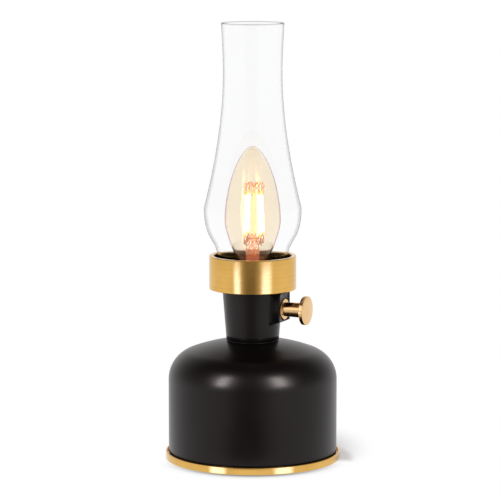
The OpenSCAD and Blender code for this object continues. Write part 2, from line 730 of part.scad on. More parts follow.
module holder_screws() {
    top = cup_floor_top + holder_flange_t + screw_head_h;
    color(STEEL) for (side = [-1, 1]) translate([0, side * holder_screw_y, top]) mirror([0, 0, 1])
        screw(screw_r, screw_head_r, screw_head_h, holder_flange_t + cup_floor + 8);
}

// The dimmer and its knob

module dimmer_body() {
    color(BLACK_PLASTIC) difference() {
        union() {
            along_x(dimmer_back) cylinder(r = dimmer_r, h = dimmer_x - dimmer_back);
            translate([dimmer_back, -4, knob_z - dimmer_r]) cube([2, 8, dimmer_r]);
            for (y = [-2.5, 0, 2.5]) translate([dimmer_back + 0.6, y - 0.5, knob_z - dimmer_r - 3])
                cube([0.6, 1, 4]);
        }
        along_x(dimmer_back + 0.8) cylinder(r = shaft_r + running_gap, h = dimmer_x - dimmer_back);
    }
}

module dimmer_bush() {
    color(BRASS) along_x(dimmer_x) difference() {
        cylinder(r = bush_r, h = bush_end - dimmer_x);
        translate([0, 0, -CUT]) cylinder(r = shaft_r + running_gap, h = bush_end - dimmer_x + 2 * CUT);
    }
}

module dimmer_washer() {
    color(STEEL) along_x(recess_x) difference() {
        cylinder(r = bush_r + 1.9, h = 0.4);
        translate([0, 0, -CUT]) cylinder(r = bush_r + 0.05, h = 0.4 + 2 * CUT);
    }
}

module dimmer_nut() {
    color(STEEL) along_x(recess_x + 0.4) difference() {
        cylinder(r = bush_r + 2.1, h = 1.5, $fn = 6);
        translate([0, 0, -CUT]) cylinder(r = bush_r + thread_fit, h = 1.5 + 2 * CUT);
    }
}

module dimmer_shaft() {
    color(STEEL) along_x(dimmer_back + 1.1) cylinder(r = shaft_r, h = shaft_end - dimmer_back - 1.1);
}

module knob_stem() {
    length = disc_x - skirt_x;
    color(POLISHED_BRASS) along_x(skirt_x) difference() {
        turned([[0, 0], [skirt_r, 0], [skirt_r, skirt_t - 0.3], [skirt_r - 0.3, skirt_t], [stem_r, skirt_t],
            [stem_end_r, length], [shaft_r + 0.8, length], [shaft_r + 0.8, length + stem_spigot],
            [0, length + stem_spigot]]);
        translate([0, 0, -CUT]) cylinder(r = shaft_r + thread_fit, h = shaft_end - skirt_x + CUT + 0.2);
    }
}

module knob_disc() {
    color(POLISHED_BRASS) along_x(disc_x) turned([[shaft_r + 0.8 + thread_fit, 0], [disc_r - 0.35, 0],
        [disc_r, 0.35], [disc_r, disc_edge], [disc_r - bevel_w, disc_edge + bevel_h], [0, disc_edge + bevel_h],
        [0, stem_spigot + thread_fit], [shaft_r + 0.8 + thread_fit, stem_spigot + thread_fit]]);
}

// The bulb

module bulb_cap() {
    wall = 0.45;
    section = thread_section(thread_r, thread_z, thread_top);
    core = thread_r - thread_depth - wall;
    color(STEEL) turned(concat([[core - 1.2, cap_z], [thread_r - 2, cap_z]], section,
        [[thread_r - 0.1, flare_z], [collar_r - 0.3, flare_z + 2.6], [collar_r, flare_z + 3.4],
        [collar_r, cap_top - 0.4], [collar_r - 0.2, cap_top], [bulb_neck_r + 0.1, cap_top],
        [bulb_neck_r + 0.1, flare_z + 2.2], [core, flare_z - 0.6], [core, cap_z + 1.2]]));
}

module bulb_insulator() {
    r = thread_r - thread_depth - 1.65;
    color(BLACK_PLASTIC) turned([[0, bulb_z + 1], [2.6, bulb_z + 1], [r, cap_z], [r, cap_z + 1.5], [0, cap_z + 1.5]]);
}

module bulb_contact() {
    color(STEEL) turned(concat([[0, bulb_z + 1], [0, bulb_z]], [[1.2, bulb_z], [2, bulb_z + 0.35], [2.4, bulb_z + 1]]));
}

// Outside outline of the bulb, from the glass neck up to the tip
function bulb_outside() = concat([[bulb_neck_r, glass_neck_z]],
    bezier([bulb_neck_r, cap_top + 0.1], [bulb_neck_r + 4.6, cap_top + 1.1], [bulb_r, bulb_belly_z - 5.8],
        [bulb_r, bulb_belly_z]),
    tail(bezier([bulb_r, bulb_belly_z], [bulb_r, bulb_belly_z + 0.51 * (bulb_tip - bulb_belly_z)],
        [0.41 * bulb_r, bulb_tip], [0, bulb_tip])));

module bulb_glass() {
    outside = bulb_outside();
    inside = [for (p = inset(outside, bulb_t)) if (p[0] > 0.3) p];
    color(AMBER_GLASS) turned(concat(outside, [[0, bulb_tip - bulb_t]], reversed(inside)));
}

module bulb_stem() {
    flare = bulb_neck_r - bulb_t - 0.1;
    color(GLASS) turned([[0, glass_neck_z], [flare, glass_neck_z], [flare, glass_neck_z + 0.8],
        [stem_glass_r + 0.6, glass_neck_z + 3.4], [stem_glass_r, glass_neck_z + 6], [stem_glass_r, stem_top - 5],
        [stem_glass_r - 1, stem_top - 1.2], [stem_glass_r - 2, stem_top], [0, stem_top]]);
}

function filament_point(i, r, z) = let (a = filament_turn + 360 * i / filaments) [r * cos(a), r * sin(a), z];

// Centre support, and the wires from it to both ends of each filament
module filament_frame() {
    wire = 0.35;
    color(COPPER) {
        translate([0, 0, stem_top]) cylinder(r = 0.6, h = frame_top - stem_top, $fn = 24);
        for (i = [0:filaments - 1]) {
            rod([0, 0, frame_top - 0.8], filament_point(i, filament_high * 0.95, filament_top + 1.2), wire);
            rod(filament_point(i, filament_high, filament_top + 2), filament_point(i, filament_high, filament_top), wire);
            rod([0, 0, stem_top + 0.6], filament_point(i, filament_low, filament_z - 1.2), wire);
            rod(filament_point(i, filament_low, filament_z - 2), filament_point(i, filament_low, filament_z), wire);
        }
    }
}

module filament(i) {
    color(GLOW) rod(filament_point(i, filament_low, filament_z), filament_point(i, filament_high, filament_top),
        filament_r);
}

// The battery box and what it holds

// Cell number i of 0, 1 and 2 lies at this y, and its button points to this side of x
function cell_y(i) = (i - 1) * cell_pitch;
function cell_side(i) = i == 1 ? -1 : 1;

module cell(i) {
    round_r = 0.6;
    can = cell_len - nub_h;
    color(i == 1 ? COPPER : BOARD_GREEN)
        translate([cell_side(i) * (box_l / 2 - contact_t), cell_y(i), cell_z])
        rotate([0, -90 * cell_side(i), 0]) turned([[0, 0], [nub_r - 0.3, 0], [nub_r, 0.3], [nub_r, nub_h],
            [cell_r - round_r, nub_h], [cell_r, nub_h + round_r], [cell_r, cell_len - round_r],
            [cell_r - round_r, cell_len], [0, cell_len]]);
}

// One unbroken wire: straight end, turns, straight end, along +X from 0 to the room that it has
function spring_path() = let (n = 8 * spring_turns, run = spring_len - 2 * spring_wire) concat(
    [[0, spring_r, 0]],
    [for (i = [0:n]) let (a = 360 * i / 8) [spring_wire + run * i / n, spring_r * cos(a), spring_r * sin(a)]],
    [[spring_len, spring_r * cos(45 * n), spring_r * sin(45 * n)]]);

// Least room between one turn and the next, measured between points a half turn or more apart
function spring_gap(p) = min([for (i = [0:len(p) - 1], j = [i + 4:1:len(p) - 1]) norm(p[i] - p[j])]) - spring_wire;
echo(contact_spring_least_gap = spring_gap(spring_path()));

module contact_spring(i) {
    color(STEEL) translate([-cell_side(i) * (box_l / 2 - contact_t), cell_y(i), cell_z])
        rotate([0, 0, cell_side(i) > 0 ? 0 : 180]) swept_tube(spring_path(), spring_wire / 2, 6, [0.05, 0.3, 1]);
}

module contact_plate(side, y0, y1) {
    x = side > 0 ? box_l / 2 - contact_t : -box_l / 2;
    translate([x, y0 - contact_half, cell_z - contact_half])
        cube([contact_t, y1 - y0 + 2 * contact_half, 2 * contact_half]);
}

module terminal(side) {
    contact_plate(side, side * cell_pitch, side * cell_pitch);
    x = side > 0 ? box_l / 2 - contact_t : -box_l / 2;
    translate([x, side * cell_pitch - 1.5, cell_z]) cube([contact_t, 3, terminal_top - cell_z]);
}

module battery_door() {
    color(BLACK_PLASTIC) difference() {
        union() {
            difference() {
                translate([0, 0, plate_z]) linear_extrude(door_t) door_outline(0);
                translate([door_screw_x, 0, plate_z]) cylinder(r1 = door_screw_r + 1.3, r2 = door_screw_r, h = 1.1);
                translate([door_screw_x, 0, plate_z]) cylinder(r = door_screw_r + 0.1, h = door_t + CUT);
            }
            translate([hinge_x, -bead_l / 2, hinge_z]) rotate([-90, 0, 0]) cylinder(r = bead_r, h = bead_l);
            translate([hinge_x, -bead_l / 2 - door_gap - hinge_pin_l + 0.2, hinge_z]) rotate([-90, 0, 0])
                cylinder(r = hinge_pin_r, h = bead_l + 2 * (door_gap + hinge_pin_l - 0.2));
        }
        for (i = [0:4]) translate([door_front - 6 - 2.2 * i, -9, plate_z - CUT]) cube([1, 18, CUT + 0.4]);
    }
}

module door_pad() {
    color(RUBBER) translate([0, 0, plate_z + door_t]) linear_extrude(pad_t)
        polygon(rounded_rectangle(box_l * 0.7, box_half_w * 1.5, 3));
}

module door_screw() {
    color(STEEL) translate([door_screw_x, 0, plate_z + 0.05]) {
        cylinder(r1 = door_screw_r + 1.15, r2 = door_screw_r, h = 0.95);
        cylinder(r = door_screw_r, h = boss_top - plate_z - 1.6);
    }
}

// The electronics

module driver_board() {
    color(BOARD_GREEN) translate([0, 0, board_z]) difference() {
        linear_extrude(board_t) polygon(rounded_rectangle(board_l, board_w, 1.5));
        translate([0, 0, -board_z]) box_posts(board_screw_r + 0.1, board_z - CUT, board_z + board_t + CUT);
    }
}

module board_parts() {
    z = board_z + board_t;
    color(BLACK_PLASTIC) {
        translate([-4, -3, z]) cube([6, 5, 1.6]);
        translate([-13, -5, z]) cube([6, 6, 3]);
        translate([7, -4, z]) cylinder(r = 3, h = 7);
        translate([8.5, 1, z]) cube([3.5, 8, 5]);
        for (x = [-14:3:-5]) translate([x, 5, z]) cube([1.6, 0.8, 0.6]);
    }
}

module board_screws() {
    top = board_z + board_t + 1.2;
    color(STEEL) for (x = [-post_x, post_x], y = [-post_y, post_y]) translate([x, y, top]) mirror([0, 0, 1])
        screw(board_screw_r, 1.9, 1.2, board_t + 3.4);
}

// Each wire arches from the top of its terminal down to the top of the board
module battery_leads() {
    x = box_l / 2 - contact_t / 2;
    color(COPPER) for (side = [-1, 1]) lead([side * x, side * cell_pitch, terminal_top],
        [side * (post_x - 3.5), side * (post_y - 4.5), board_z + board_t], 9, -9);
}

// The wires pass the neck's bore side by side: those of the lamp behind, those of the dimmer in front
module lamp_leads() {
    color(COPPER) for (side = [-1, 1]) lead_through([side * 6, 8, board_z + board_t],
        [side * 0.55 * wire_bore_r, 0.42 * wire_bore_r, spigot_bottom + 4],
        [side * 4.5, 0, holder_floor_z - holder_floor], (spigot_bottom - board_z) / 2, 8);
}

module dimmer_leads() {
    pin_z = knob_z - dimmer_r - 3;
    color(COPPER) for (i = [-1, 0, 1]) lead_through([1, 3 * i - 9, board_z + board_t],
        [0.3 * wire_bore_r, 2 * i - 2.5, spigot_bottom + 4], [dimmer_back + 0.9, 2.5 * i, pin_z],
        (spigot_bottom - board_z) / 2, (pin_z - spigot_bottom) / 2);
}

base_ring();
rubber_foot();
base_plate();
base_screws_set();
clinch_nuts();
body_shell();
neck_washer();
neck_nut();
neck();
gallery_cup();
gallery_ring();
glass_cushion();
holder_body();
holder_shell();
holder_contact();
holder_screws();
dimmer_body();
dimmer_bush();
dimmer_washer();
dimmer_nut();
driver_board();
board_parts();
board_screws();
battery_leads();
lamp_leads();
dimmer_leads();
color(STEEL) terminal(-1);  // negative_terminal
color(STEEL) terminal(1);  // positive_terminal
color(STEEL) contact_plate(1, -cell_pitch, 0);  // bridge_front
color(STEEL) contact_plate(-1, 0, cell_pitch);  // bridge_rear
contact_spring(0);  // contact_spring_1
contact_spring(1);  // contact_spring_2
contact_spring(2);  // contact_spring_3
cell(0);  // cell_1
cell(1);  // cell_2
cell(2);  // cell_3
dimmer_shaft();
knob_stem();
knob_disc();
chimney();
bulb_cap();
bulb_insulator();
bulb_contact();
bulb_glass();
bulb_stem();
filament_frame();
filament(0);  // filament_1
filament(1);  // filament_2
filament(2);  // filament_3
filament(3);  // filament_4
battery_door();
door_pad();
door_screw();
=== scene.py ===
"""Battery table lantern in the shape of an old oil lamp, dressed for rendering.

Sizes in the classes are in millimetres and MM turns them into metres. The origin is on the floor under the
lamp's axis, +Z is up and the knob points along +X.
"""

import json
import logging
import math
from dataclasses import dataclass
from enum import Enum
from typing import Callable, Sequence

import bmesh
import bpy
from mathutils import Matrix, Vector

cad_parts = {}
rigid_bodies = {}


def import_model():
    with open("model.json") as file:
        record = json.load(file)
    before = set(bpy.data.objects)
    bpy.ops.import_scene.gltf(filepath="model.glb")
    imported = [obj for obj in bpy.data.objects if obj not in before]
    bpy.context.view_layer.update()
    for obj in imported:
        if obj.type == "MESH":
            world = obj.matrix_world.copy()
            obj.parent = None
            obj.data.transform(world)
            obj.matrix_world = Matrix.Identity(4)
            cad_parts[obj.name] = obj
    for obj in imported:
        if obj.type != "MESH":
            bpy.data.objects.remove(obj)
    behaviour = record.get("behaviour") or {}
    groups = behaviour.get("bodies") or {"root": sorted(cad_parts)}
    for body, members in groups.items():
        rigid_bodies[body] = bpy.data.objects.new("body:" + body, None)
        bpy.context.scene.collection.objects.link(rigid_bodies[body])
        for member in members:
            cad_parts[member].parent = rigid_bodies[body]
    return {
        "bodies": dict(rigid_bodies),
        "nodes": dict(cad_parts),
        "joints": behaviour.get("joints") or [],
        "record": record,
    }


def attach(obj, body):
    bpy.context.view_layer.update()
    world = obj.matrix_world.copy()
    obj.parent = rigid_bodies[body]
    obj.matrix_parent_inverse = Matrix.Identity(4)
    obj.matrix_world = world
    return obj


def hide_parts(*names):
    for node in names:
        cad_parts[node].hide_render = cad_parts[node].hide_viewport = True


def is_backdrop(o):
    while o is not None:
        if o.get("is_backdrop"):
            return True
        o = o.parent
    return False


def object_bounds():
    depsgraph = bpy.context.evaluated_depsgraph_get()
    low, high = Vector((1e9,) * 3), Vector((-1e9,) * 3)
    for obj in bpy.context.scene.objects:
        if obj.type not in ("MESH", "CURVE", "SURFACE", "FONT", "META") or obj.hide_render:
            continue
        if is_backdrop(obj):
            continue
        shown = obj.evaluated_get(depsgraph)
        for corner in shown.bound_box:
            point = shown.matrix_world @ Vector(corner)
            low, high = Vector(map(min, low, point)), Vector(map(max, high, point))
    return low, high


MM = 0.001
LOG = logging.getLogger("lantern")
Point = tuple[float, float]
Point3 = tuple[float, float, float]
Ring = list[Vector]


class Body(Enum):
    """The parts of the lantern that move as one."""

    BASE = "base"
    KNOB = "knob"
    GLASS = "glass"
    BULB = "bulb"
    DOOR = "door"


class Turning(Enum):
    """The line that a turned part was made round, and that its fine lines follow."""

    LAMP = "lamp"
    KNOB = "knob"


# Outlines, as lists of radius and height


def arc(cx: float, cz: float, r: float, start: float, stop: float, count: int = 10) -> list[Point]:
    """Points on a circle.

    Args:
        cx: Radius of the circle's centre.
        cz: Height of the circle's centre.
        r: Radius of the circle.
        start: First angle in degrees, 0 outwards and 90 up.
        stop: Last angle in degrees.
        count: Number of steps between them.

    Returns:
        The points in order.
    """
    angles = [math.radians(start + (stop - start) * i / count) for i in range(count + 1)]
    return [(cx + r * math.cos(a), cz + r * math.sin(a)) for a in angles]


def bezier(a: Sequence[float], b: Sequence[float], c: Sequence[float], d: Sequence[float],
           count: int = 44) -> list[tuple[float, ...]]:
    """Points on a cubic curve in two or three dimensions.

    Args:
        a: Start.
        b: First handle.
        c: Second handle.
        d: End.
        count: Number of steps.

    Returns:
        The points in order.
    """
    points = []
    for i in range(count + 1):
        t = i / count
        u = 1 - t
        weights = (u * u * u, 3 * u * u * t, 3 * u * t * t, t * t * t)
        points.append(tuple(sum(w * p[k] for w, p in zip(weights, (a, b, c, d))) for k in range(len(a))))
    return points


def inset(outline: Sequence[Point], depth: float) -> list[Point]:
    """Each point moved to the left of the way the outline runs.

    Args:
        outline: Points in order.
        depth: Distance to move them.

    Returns:
        The moved points.
    """
    moved = []
    for i, (r, z) in enumerate(outline):
        before = outline[max(i - 1, 0)]
        after = outline[min(i + 1, len(outline) - 1)]
        dr, dz = after[0] - before[0], after[1] - before[1]
        length = math.hypot(dr, dz)
        moved.append((r - depth * dz / length, z + depth * dr / length))
    return moved


def softened(outline: Sequence[Point], radius: float, steps: int = 3) -> list[Point]:
    """A closed outline with its sharp corners rounded, as every machined or moulded edge is.

    Args:
        outline: Points in order, without the first one repeated at the end.
        radius: Wanted radius, made less where two corners are close.
        steps: Pieces that each rounded corner is made of.

    Returns:
        The rounded outline.
    """
    made = []
    count = len(outline)
    for i, here in enumerate(outline):
        corner = Vector(here)
        back = Vector(outline[i - 1]) - corner
        ahead = Vector(outline[(i + 1) % count]) - corner
        if here[0] < 0.01 or back.length < 1e-6 or ahead.length < 1e-6:
            made.append(here)
            continue
        turn = math.pi - back.angle(ahead)
        reach = min(radius * math.tan(turn / 2), 0.42 * back.length, 0.42 * ahead.length)
        if turn < math.radians(24) or reach < 0.01:
            made.append(here)
            continue
        first = corner + back.normalized() * reach
        last = corner + ahead.normalized() * reach
        for k in range(steps + 1):
            t = k / steps
            point = first * (1 - t) ** 2 + corner * (2 * t * (1 - t)) + last * t * t
            made.append((point.x, point.y))
    return made


def screw_ridges(crest: float, depth: float, pitch: float, z0: float, z1: float) -> list[Point]:
    """A thread seen in section, from one height to another.

    Args:
        crest: Radius of the crests.
        depth: Height of the ridges.
        pitch: Distance between crests.
        z0: First height.
        z1: Last height.

    Returns:
        The points in order.
    """
    count = 10 * math.ceil(abs(z1 - z0) / pitch)
    heights = [z0 + (z1 - z0) * i / count for i in range(count + 1)]
    return [(crest - depth / 2 + depth / 2 * math.cos(2 * math.pi * (z - z0) / pitch), z) for z in heights]


# Meshes


def new_object(name: str, mesh: bpy.types.Mesh) -> bpy.types.Object:
    """An object at the origin with this mesh, in the scene."""
    made = bpy.data.objects.new(name, mesh)
    bpy.context.scene.collection.objects.link(made)
    return made


def smooth(mesh: bpy.types.Mesh, angle: float = 32) -> None:
    """Shades a mesh smooth, but sharp where two faces meet at more than the angle in degrees."""
    mesh.shade_smooth()
    mesh.set_sharp_from_angle(angle=math.radians(angle))


def skin(name: str, rings: Sequence[Ring], closed: bool = False, angle: float = 32) -> bpy.types.Object:
    """A closed surface through a row of rings.

    Args:
        name: Name of the piece.
        rings: Rings of the same number of points, or of one point where the surface closes to a pole.
        closed: Whether the last ring joins the first.
        angle: Sharp edge angle in degrees.

    Returns:
        The piece, with its faces outwards.
    """
    bm = bmesh.new()
    rows = [[bm.verts.new(point) for point in ring] for ring in rings]
    pairs = list(zip(rows, rows[1:])) + ([(rows[-1], rows[0])] if closed else [])
    for low, high in pairs:
        count = max(len(low), len(high))
        if count == 1:
            continue
        for k in range(count):
            j = (k + 1) % count
            corners = [low[k % len(low)], low[j % len(low)], high[j % len(high)], high[k % len(high)]]
            face = list(dict.fromkeys(corners))
            if len(face) > 2:
                bm.faces.new(face)
    bmesh.ops.remove_doubles(bm, verts=bm.verts, dist=1e-7)
    bmesh.ops.recalc_face_normals(bm, faces=bm.faces)
    mesh = bpy.data.meshes.new(name)
    bm.to_mesh(mesh)
    bm.free()
    smooth(mesh, angle)
    return new_object(name, mesh)


def ring(radius: float | Callable[[float], float], z: float, count: int) -> Ring:
    """One ring of points in metres round the Z axis.

    Args:
        radius: Radius, or a function that gives it for an angle in radians.
        z: Height.
        count: Number of points.

    Returns:
        The points, or a single one for radius 0.
    """
    if not callable(radius) and radius < 1e-4:
        return [Vector((0, 0, z)) * MM]
    points = []
    for k in range(count):
        a = 2 * math.pi * k / count
        r = radius(a) if callable(radius) else radius
        points.append(Vector((r * math.cos(a), r * math.sin(a), z)) * MM)
    return points


def turned(name: str, outline: Sequence[Point], segments: int = 160,
           place: Matrix | None = None) -> bpy.types.Object:
    """A part turned round the Z axis, then set in its place.

    Args:
        name: Name of the piece.
        outline: Closed outline of radius and height.
        segments: Sides of the circle.
        place: Where the part's own axis goes, in metres.

    Returns:
        The piece.
    """
    made = skin(name, [ring(r, z, segments) for r, z in outline], closed=True)
    if place is not None:
        made.data.transform(place)
    return made


def along_knob(x: float = 0, axis_z: float = 0) -> Matrix:
    """Turns the Z axis to +X, at a height above the floor."""
    return Matrix.Translation(Vector((x, 0, axis_z)) * MM) @ Matrix.Rotation(math.pi / 2, 4, "Y")


def hexagon(corner: float, cap: float | None = None) -> Callable[[float], float]:
    """Radius of a hexagon at an angle, cut to a circle where a nut is chamfered."""
    def radius(a: float) -> float:
        """Radius at angle a."""
        flat = corner * math.cos(math.pi / 6) / math.cos((a % (math.pi / 3)) - math.pi / 6)
        return flat if cap is None else min(flat, cap)
    return radius


def cross(arm: float, half: float) -> Callable[[float], float]:
    """Radius of a cross recess at an angle, from its reach and half the width of its arms."""
    def radius(a: float) -> float:
        """Radius at angle a."""
        fold = abs((a + math.pi / 4) % (math.pi / 2) - math.pi / 4)
        if math.tan(fold) <= half / arm:
            return arm / math.cos(fold)
        return half / math.sin(fold)
    return radius


def hex_nut(name: str, corner: float, bore: float, height: float, z: float = 0, pitch: float = 1.0,
            place: Matrix | None = None) -> bpy.types.Object:
    """A chamfered nut with thread ridges in its bore.

    Args:
        name: Name of the piece.
        corner: Radius over the corners.
        bore: Least radius of the thread.
        height: Height of the nut.
        z: Height of its underside.
        pitch: Distance between thread crests.
        place: Where the nut's axis goes.

    Returns:
        The piece.
    """
    flat = corner * math.cos(math.pi / 6)
    drop = (corner - flat) * 0.6
    rings = [ring(bore, z, 72), ring(flat * 0.97, z, 72), ring(hexagon(corner, flat * 1.005), z + 0.02, 72),
             ring(hexagon(corner), z + drop, 72), ring(hexagon(corner), z + height - drop, 72),
             ring(hexagon(corner, flat * 1.005), z + height - 0.02, 72), ring(flat * 0.97, z + height, 72),
             ring(bore, z + height, 72)]
    steps = max(3, round(height / pitch * 2))
    for i in range(1, steps):
        rings.append(ring(bore + (0.12 if i % 2 else 0), z + height - height * i / steps, 72))
    made = skin(name, rings, closed=True)
    if place is not None:
        made.data.transform(place)
    return made


@dataclass(frozen=True)
class CrossScrew:
    """A pan or countersunk screw, head down, with a cross recess and thread ridges."""

    shank_r: float
    head_r: float
    head_h: float
    length: float
    sunk: bool = False

    def shape(self, name: str) -> bpy.types.Object:
        """One screw with the top of its head at the origin and its shank along +Z."""
        arm = 0.62 * self.head_r
        half = 0.17 * self.head_r
        dome = 0 if self.sunk else 0.16 * self.head_h
        deep = 0.62 * self.head_h + 0.25
        tip = self.head_h + self.length
        rings = [[Vector((0, 0, deep)) * MM], ring(cross(arm * 0.6, half * 0.7), deep - 0.08, 48),
                 ring(cross(arm, half), dome * 0.35, 48), ring(self.head_r * 0.74, dome * 0.4, 48),
                 ring(self.head_r * 0.9, dome, 48)]
        if self.sunk:
            rings += [ring(self.head_r, 0.04, 48), ring(self.head_r, 0.12, 48)]
        else:
            rings += [ring(self.head_r, 0.42 * self.head_h, 48), ring(self.head_r, self.head_h - 0.05, 48),
                      ring(self.head_r - 0.05, self.head_h, 48)]
        rings.append(ring(self.shank_r, self.head_h, 48))
        turns = max(2, round((self.length - 0.8) / 0.25))
        for i in range(1, turns):
            groove = 0.14 if i % 2 else 0
            rings.append(ring(self.shank_r - groove, self.head_h + (self.length - 0.6) * i / turns, 48))
        rings += [ring(self.shank_r, tip - 0.5, 48), ring(self.shank_r - 0.35, tip, 48),
                  [Vector((0, 0, tip)) * MM]]
        return skin(name, rings)


def merged_copy(frame: dict, node: str, name: str, angle: float = 30) -> bpy.types.Object:
    """The solid's own form with its corners joined and its round faces shaded smooth.

    Args:
        frame: The loaded frame.
        node: Name of the solid.
        name: Name of the new piece.
        angle: Sharp edge angle in degrees.

    Returns:
        The piece.
    """
    bm = bmesh.new()
    bm.from_mesh(frame["nodes"][node].data)
    bmesh.ops.remove_doubles(bm, verts=bm.verts, dist=2e-6)
    bmesh.ops.dissolve_degenerate(bm, edges=bm.edges, dist=1e-7)
    mesh = bpy.data.meshes.new(name)
    bm.to_mesh(mesh)
    bm.free()
    smooth(mesh, angle)
    return new_object(name, mesh)


def eased_copy(frame: dict, node: str, name: str, width: float = 0.12) -> bpy.types.Object:
    """A plain prism of the frame with its edges eased, for bent strips and small mouldings.

    Args:
        frame: The loaded frame.
        node: Name of the solid.
        name: Name of the new piece.
        width: Width of the eased edge.

    Returns:
        The piece.
    """
    made = merged_copy(frame, node, name)
    bm = bmesh.new()
    bm.from_mesh(made.data)
    bmesh.ops.dissolve_limit(bm, angle_limit=math.radians(1), verts=bm.verts, edges=bm.edges)
    bm.to_mesh(made.data)
    bm.free()
    bevel = made.modifiers.new("Eased edges", "BEVEL")
    bevel.width = width * MM
    bevel.segments = 2
    bevel.limit_method = "ANGLE"
    bevel.angle_limit = math.radians(40)
    bevel.use_clamp_overlap = True
    settled = bpy.data.meshes.new_from_object(made.evaluated_get(bpy.context.evaluated_depsgraph_get()))
    made.modifiers.clear()
    made.data = settled
    smooth(made.data, 40)
    return made


def block(name: str, low: Point3, high: Point3, edge: float, steps: int = 3) -> bpy.types.Object:
    """A moulded block with rounded edges, made from rounded outlines one above the other.

    Args:
        name: Name of the piece.
        low: Lowest corner.
        high: Highest corner.
        edge: Radius of its edges.
        steps: Pieces in each rounded edge.

    Returns:
        The piece.
    """
    def outline(shrink: float, z: float) -> Ring:
        """One rounded rectangle, drawn in from the sides."""
        points = []
        corners = ((high[0], high[1], 0), (low[0], high[1], 90), (low[0], low[1], 180), (high[0], low[1], 270))
        for x, y, start in corners:
            cx = x + edge * (-1 if x == high[0] else 1)
            cy = y + edge * (-1 if y == high[1] else 1)
            for px, py in arc(cx, cy, max(edge - shrink, 0.02), start, start + 90, 4):
                points.append(Vector((px, py, z)) * MM)
        return points

    middle = Vector(((low[0] + high[0]) / 2, (low[1] + high[1]) / 2, 0))
    rings = [[Vector((middle.x, middle.y, low[2])) * MM]]
    for i in range(steps + 1):
        a = math.pi / 2 * i / steps
        rings.append(outline(edge * (1 - math.sin(a)), low[2] + edge * (1 - math.cos(a))))
    for i in range(steps, -1, -1):
        a = math.pi / 2 * i / steps
        rings.append(outline(edge * (1 - math.sin(a)), high[2] - edge * (1 - math.cos(a))))
    rings.append([Vector((middle.x, middle.y, high[2])) * MM])
    return skin(name, rings, angle=50)


# Shapes that repeat or follow a path


class Growth:
    """A Geometry Nodes tree with named inputs, run once on an object and turned into a plain mesh."""

    def __init__(self, name: str, sizes: dict[str, str]) -> None:
        """Makes an empty tree.

        Args:
            name: Name of the tree.
            sizes: Names of the inputs and the types of their sockets.
        """
        self.tree = bpy.data.node_groups.new(name, "GeometryNodeTree")
        face = self.tree.interface
        face.new_socket("Geometry", in_out="INPUT", socket_type="NodeSocketGeometry")
        for label, kind in sizes.items():
            face.new_socket(label, in_out="INPUT", socket_type=kind)
        face.new_socket("Geometry", in_out="OUTPUT", socket_type="NodeSocketGeometry")
        self.given = self.tree.nodes.new("NodeGroupInput")
        self.result = self.tree.nodes.new("NodeGroupOutput")

    def add(self, kind: str, inputs: dict | None = None, **settings) -> bpy.types.Node:
        """Adds a node with its settings and inputs, each a value or another node's socket."""
        node = self.tree.nodes.new(kind)
        for key, value in settings.items():
            setattr(node, key, value)
        for key, value in (inputs or {}).items():
            if isinstance(value, bpy.types.NodeSocket):
                self.tree.links.new(value, node.inputs[key])
            else:
                node.inputs[key].default_value = value
        return node

    def close(self, geometry: bpy.types.NodeSocket) -> None:
        """Ends the tree in real geometry with the material that was asked for."""
        real = self.add("GeometryNodeRealizeInstances", {"Geometry": geometry})
        dressed = self.add("GeometryNodeSetMaterial", {"Geometry": real.outputs[0],
                                                       "Material": self.given.outputs["Material"]})
        self.tree.links.new(dressed.outputs[0], self.result.inputs[0])

    def run(self, name: str, values: dict, source: bpy.types.Mesh | None = None,
            angle: float = 32) -> bpy.types.Object:
        """Runs the tree.

        Args:
            name: Name of the piece.
            values: Value of each named input.
            source: Mesh that goes into the tree, if it needs one.
            angle: Sharp edge angle in degrees.

        Returns:
            The piece as a plain mesh.
        """
        carrier = new_object(name + "_carrier", source or bpy.data.meshes.new(name + "_source"))
        grown = carrier.modifiers.new("Growth", "NODES")
        grown.node_group = self.tree
        ids = {item.name: item.identifier for item in self.tree.interface.items_tree
               if item.in_out == "INPUT"}
        for label, value in values.items():
            grown[ids[label]] = value
        mesh = bpy.data.meshes.new_from_object(
            carrier.evaluated_get(bpy.context.evaluated_depsgraph_get()))
        carrier.modifiers.remove(grown)
        bpy.data.objects.remove(carrier)
        mesh.name = name
        smooth(mesh, angle)
        return new_object(name, mesh)


def ring_growth() -> Growth:
    """A tree that sets copies of one shape on a circle, each turned to face outwards."""
    growth = Growth("Copies on a circle", {
        "Shape": "NodeSocketObject", "Count": "NodeSocketInt", "Circle radius": "NodeSocketFloat",
        "Height": "NodeSocketFloat", "Material": "NodeSocketMaterial"})
    given = growth.given.outputs
    circle = growth.add("GeometryNodeMeshCircle", {"Vertices": given["Count"], "Radius": given["Circle radius"]})
    shape = growth.add("GeometryNodeObjectInfo", {"Object": given["Shape"]})
    place = growth.add("GeometryNodeInputPosition")
    turn = growth.add("FunctionNodeAlignRotationToVector", {"Vector": place.outputs[0]}, axis="X",
                      pivot_axis="Z")
    copies = growth.add("GeometryNodeInstanceOnPoints", {
        "Points": circle.outputs[0], "Instance": shape.outputs["Geometry"], "Rotation": turn.outputs[0]})
    offset = growth.add("ShaderNodeCombineXYZ", {"Z": given["Height"]})
    raised = growth.add("GeometryNodeTranslateInstances", {
        "Instances": copies.outputs[0], "Translation": offset.outputs[0], "Local Space": False})
    growth.close(raised.outputs[0])
    return growth


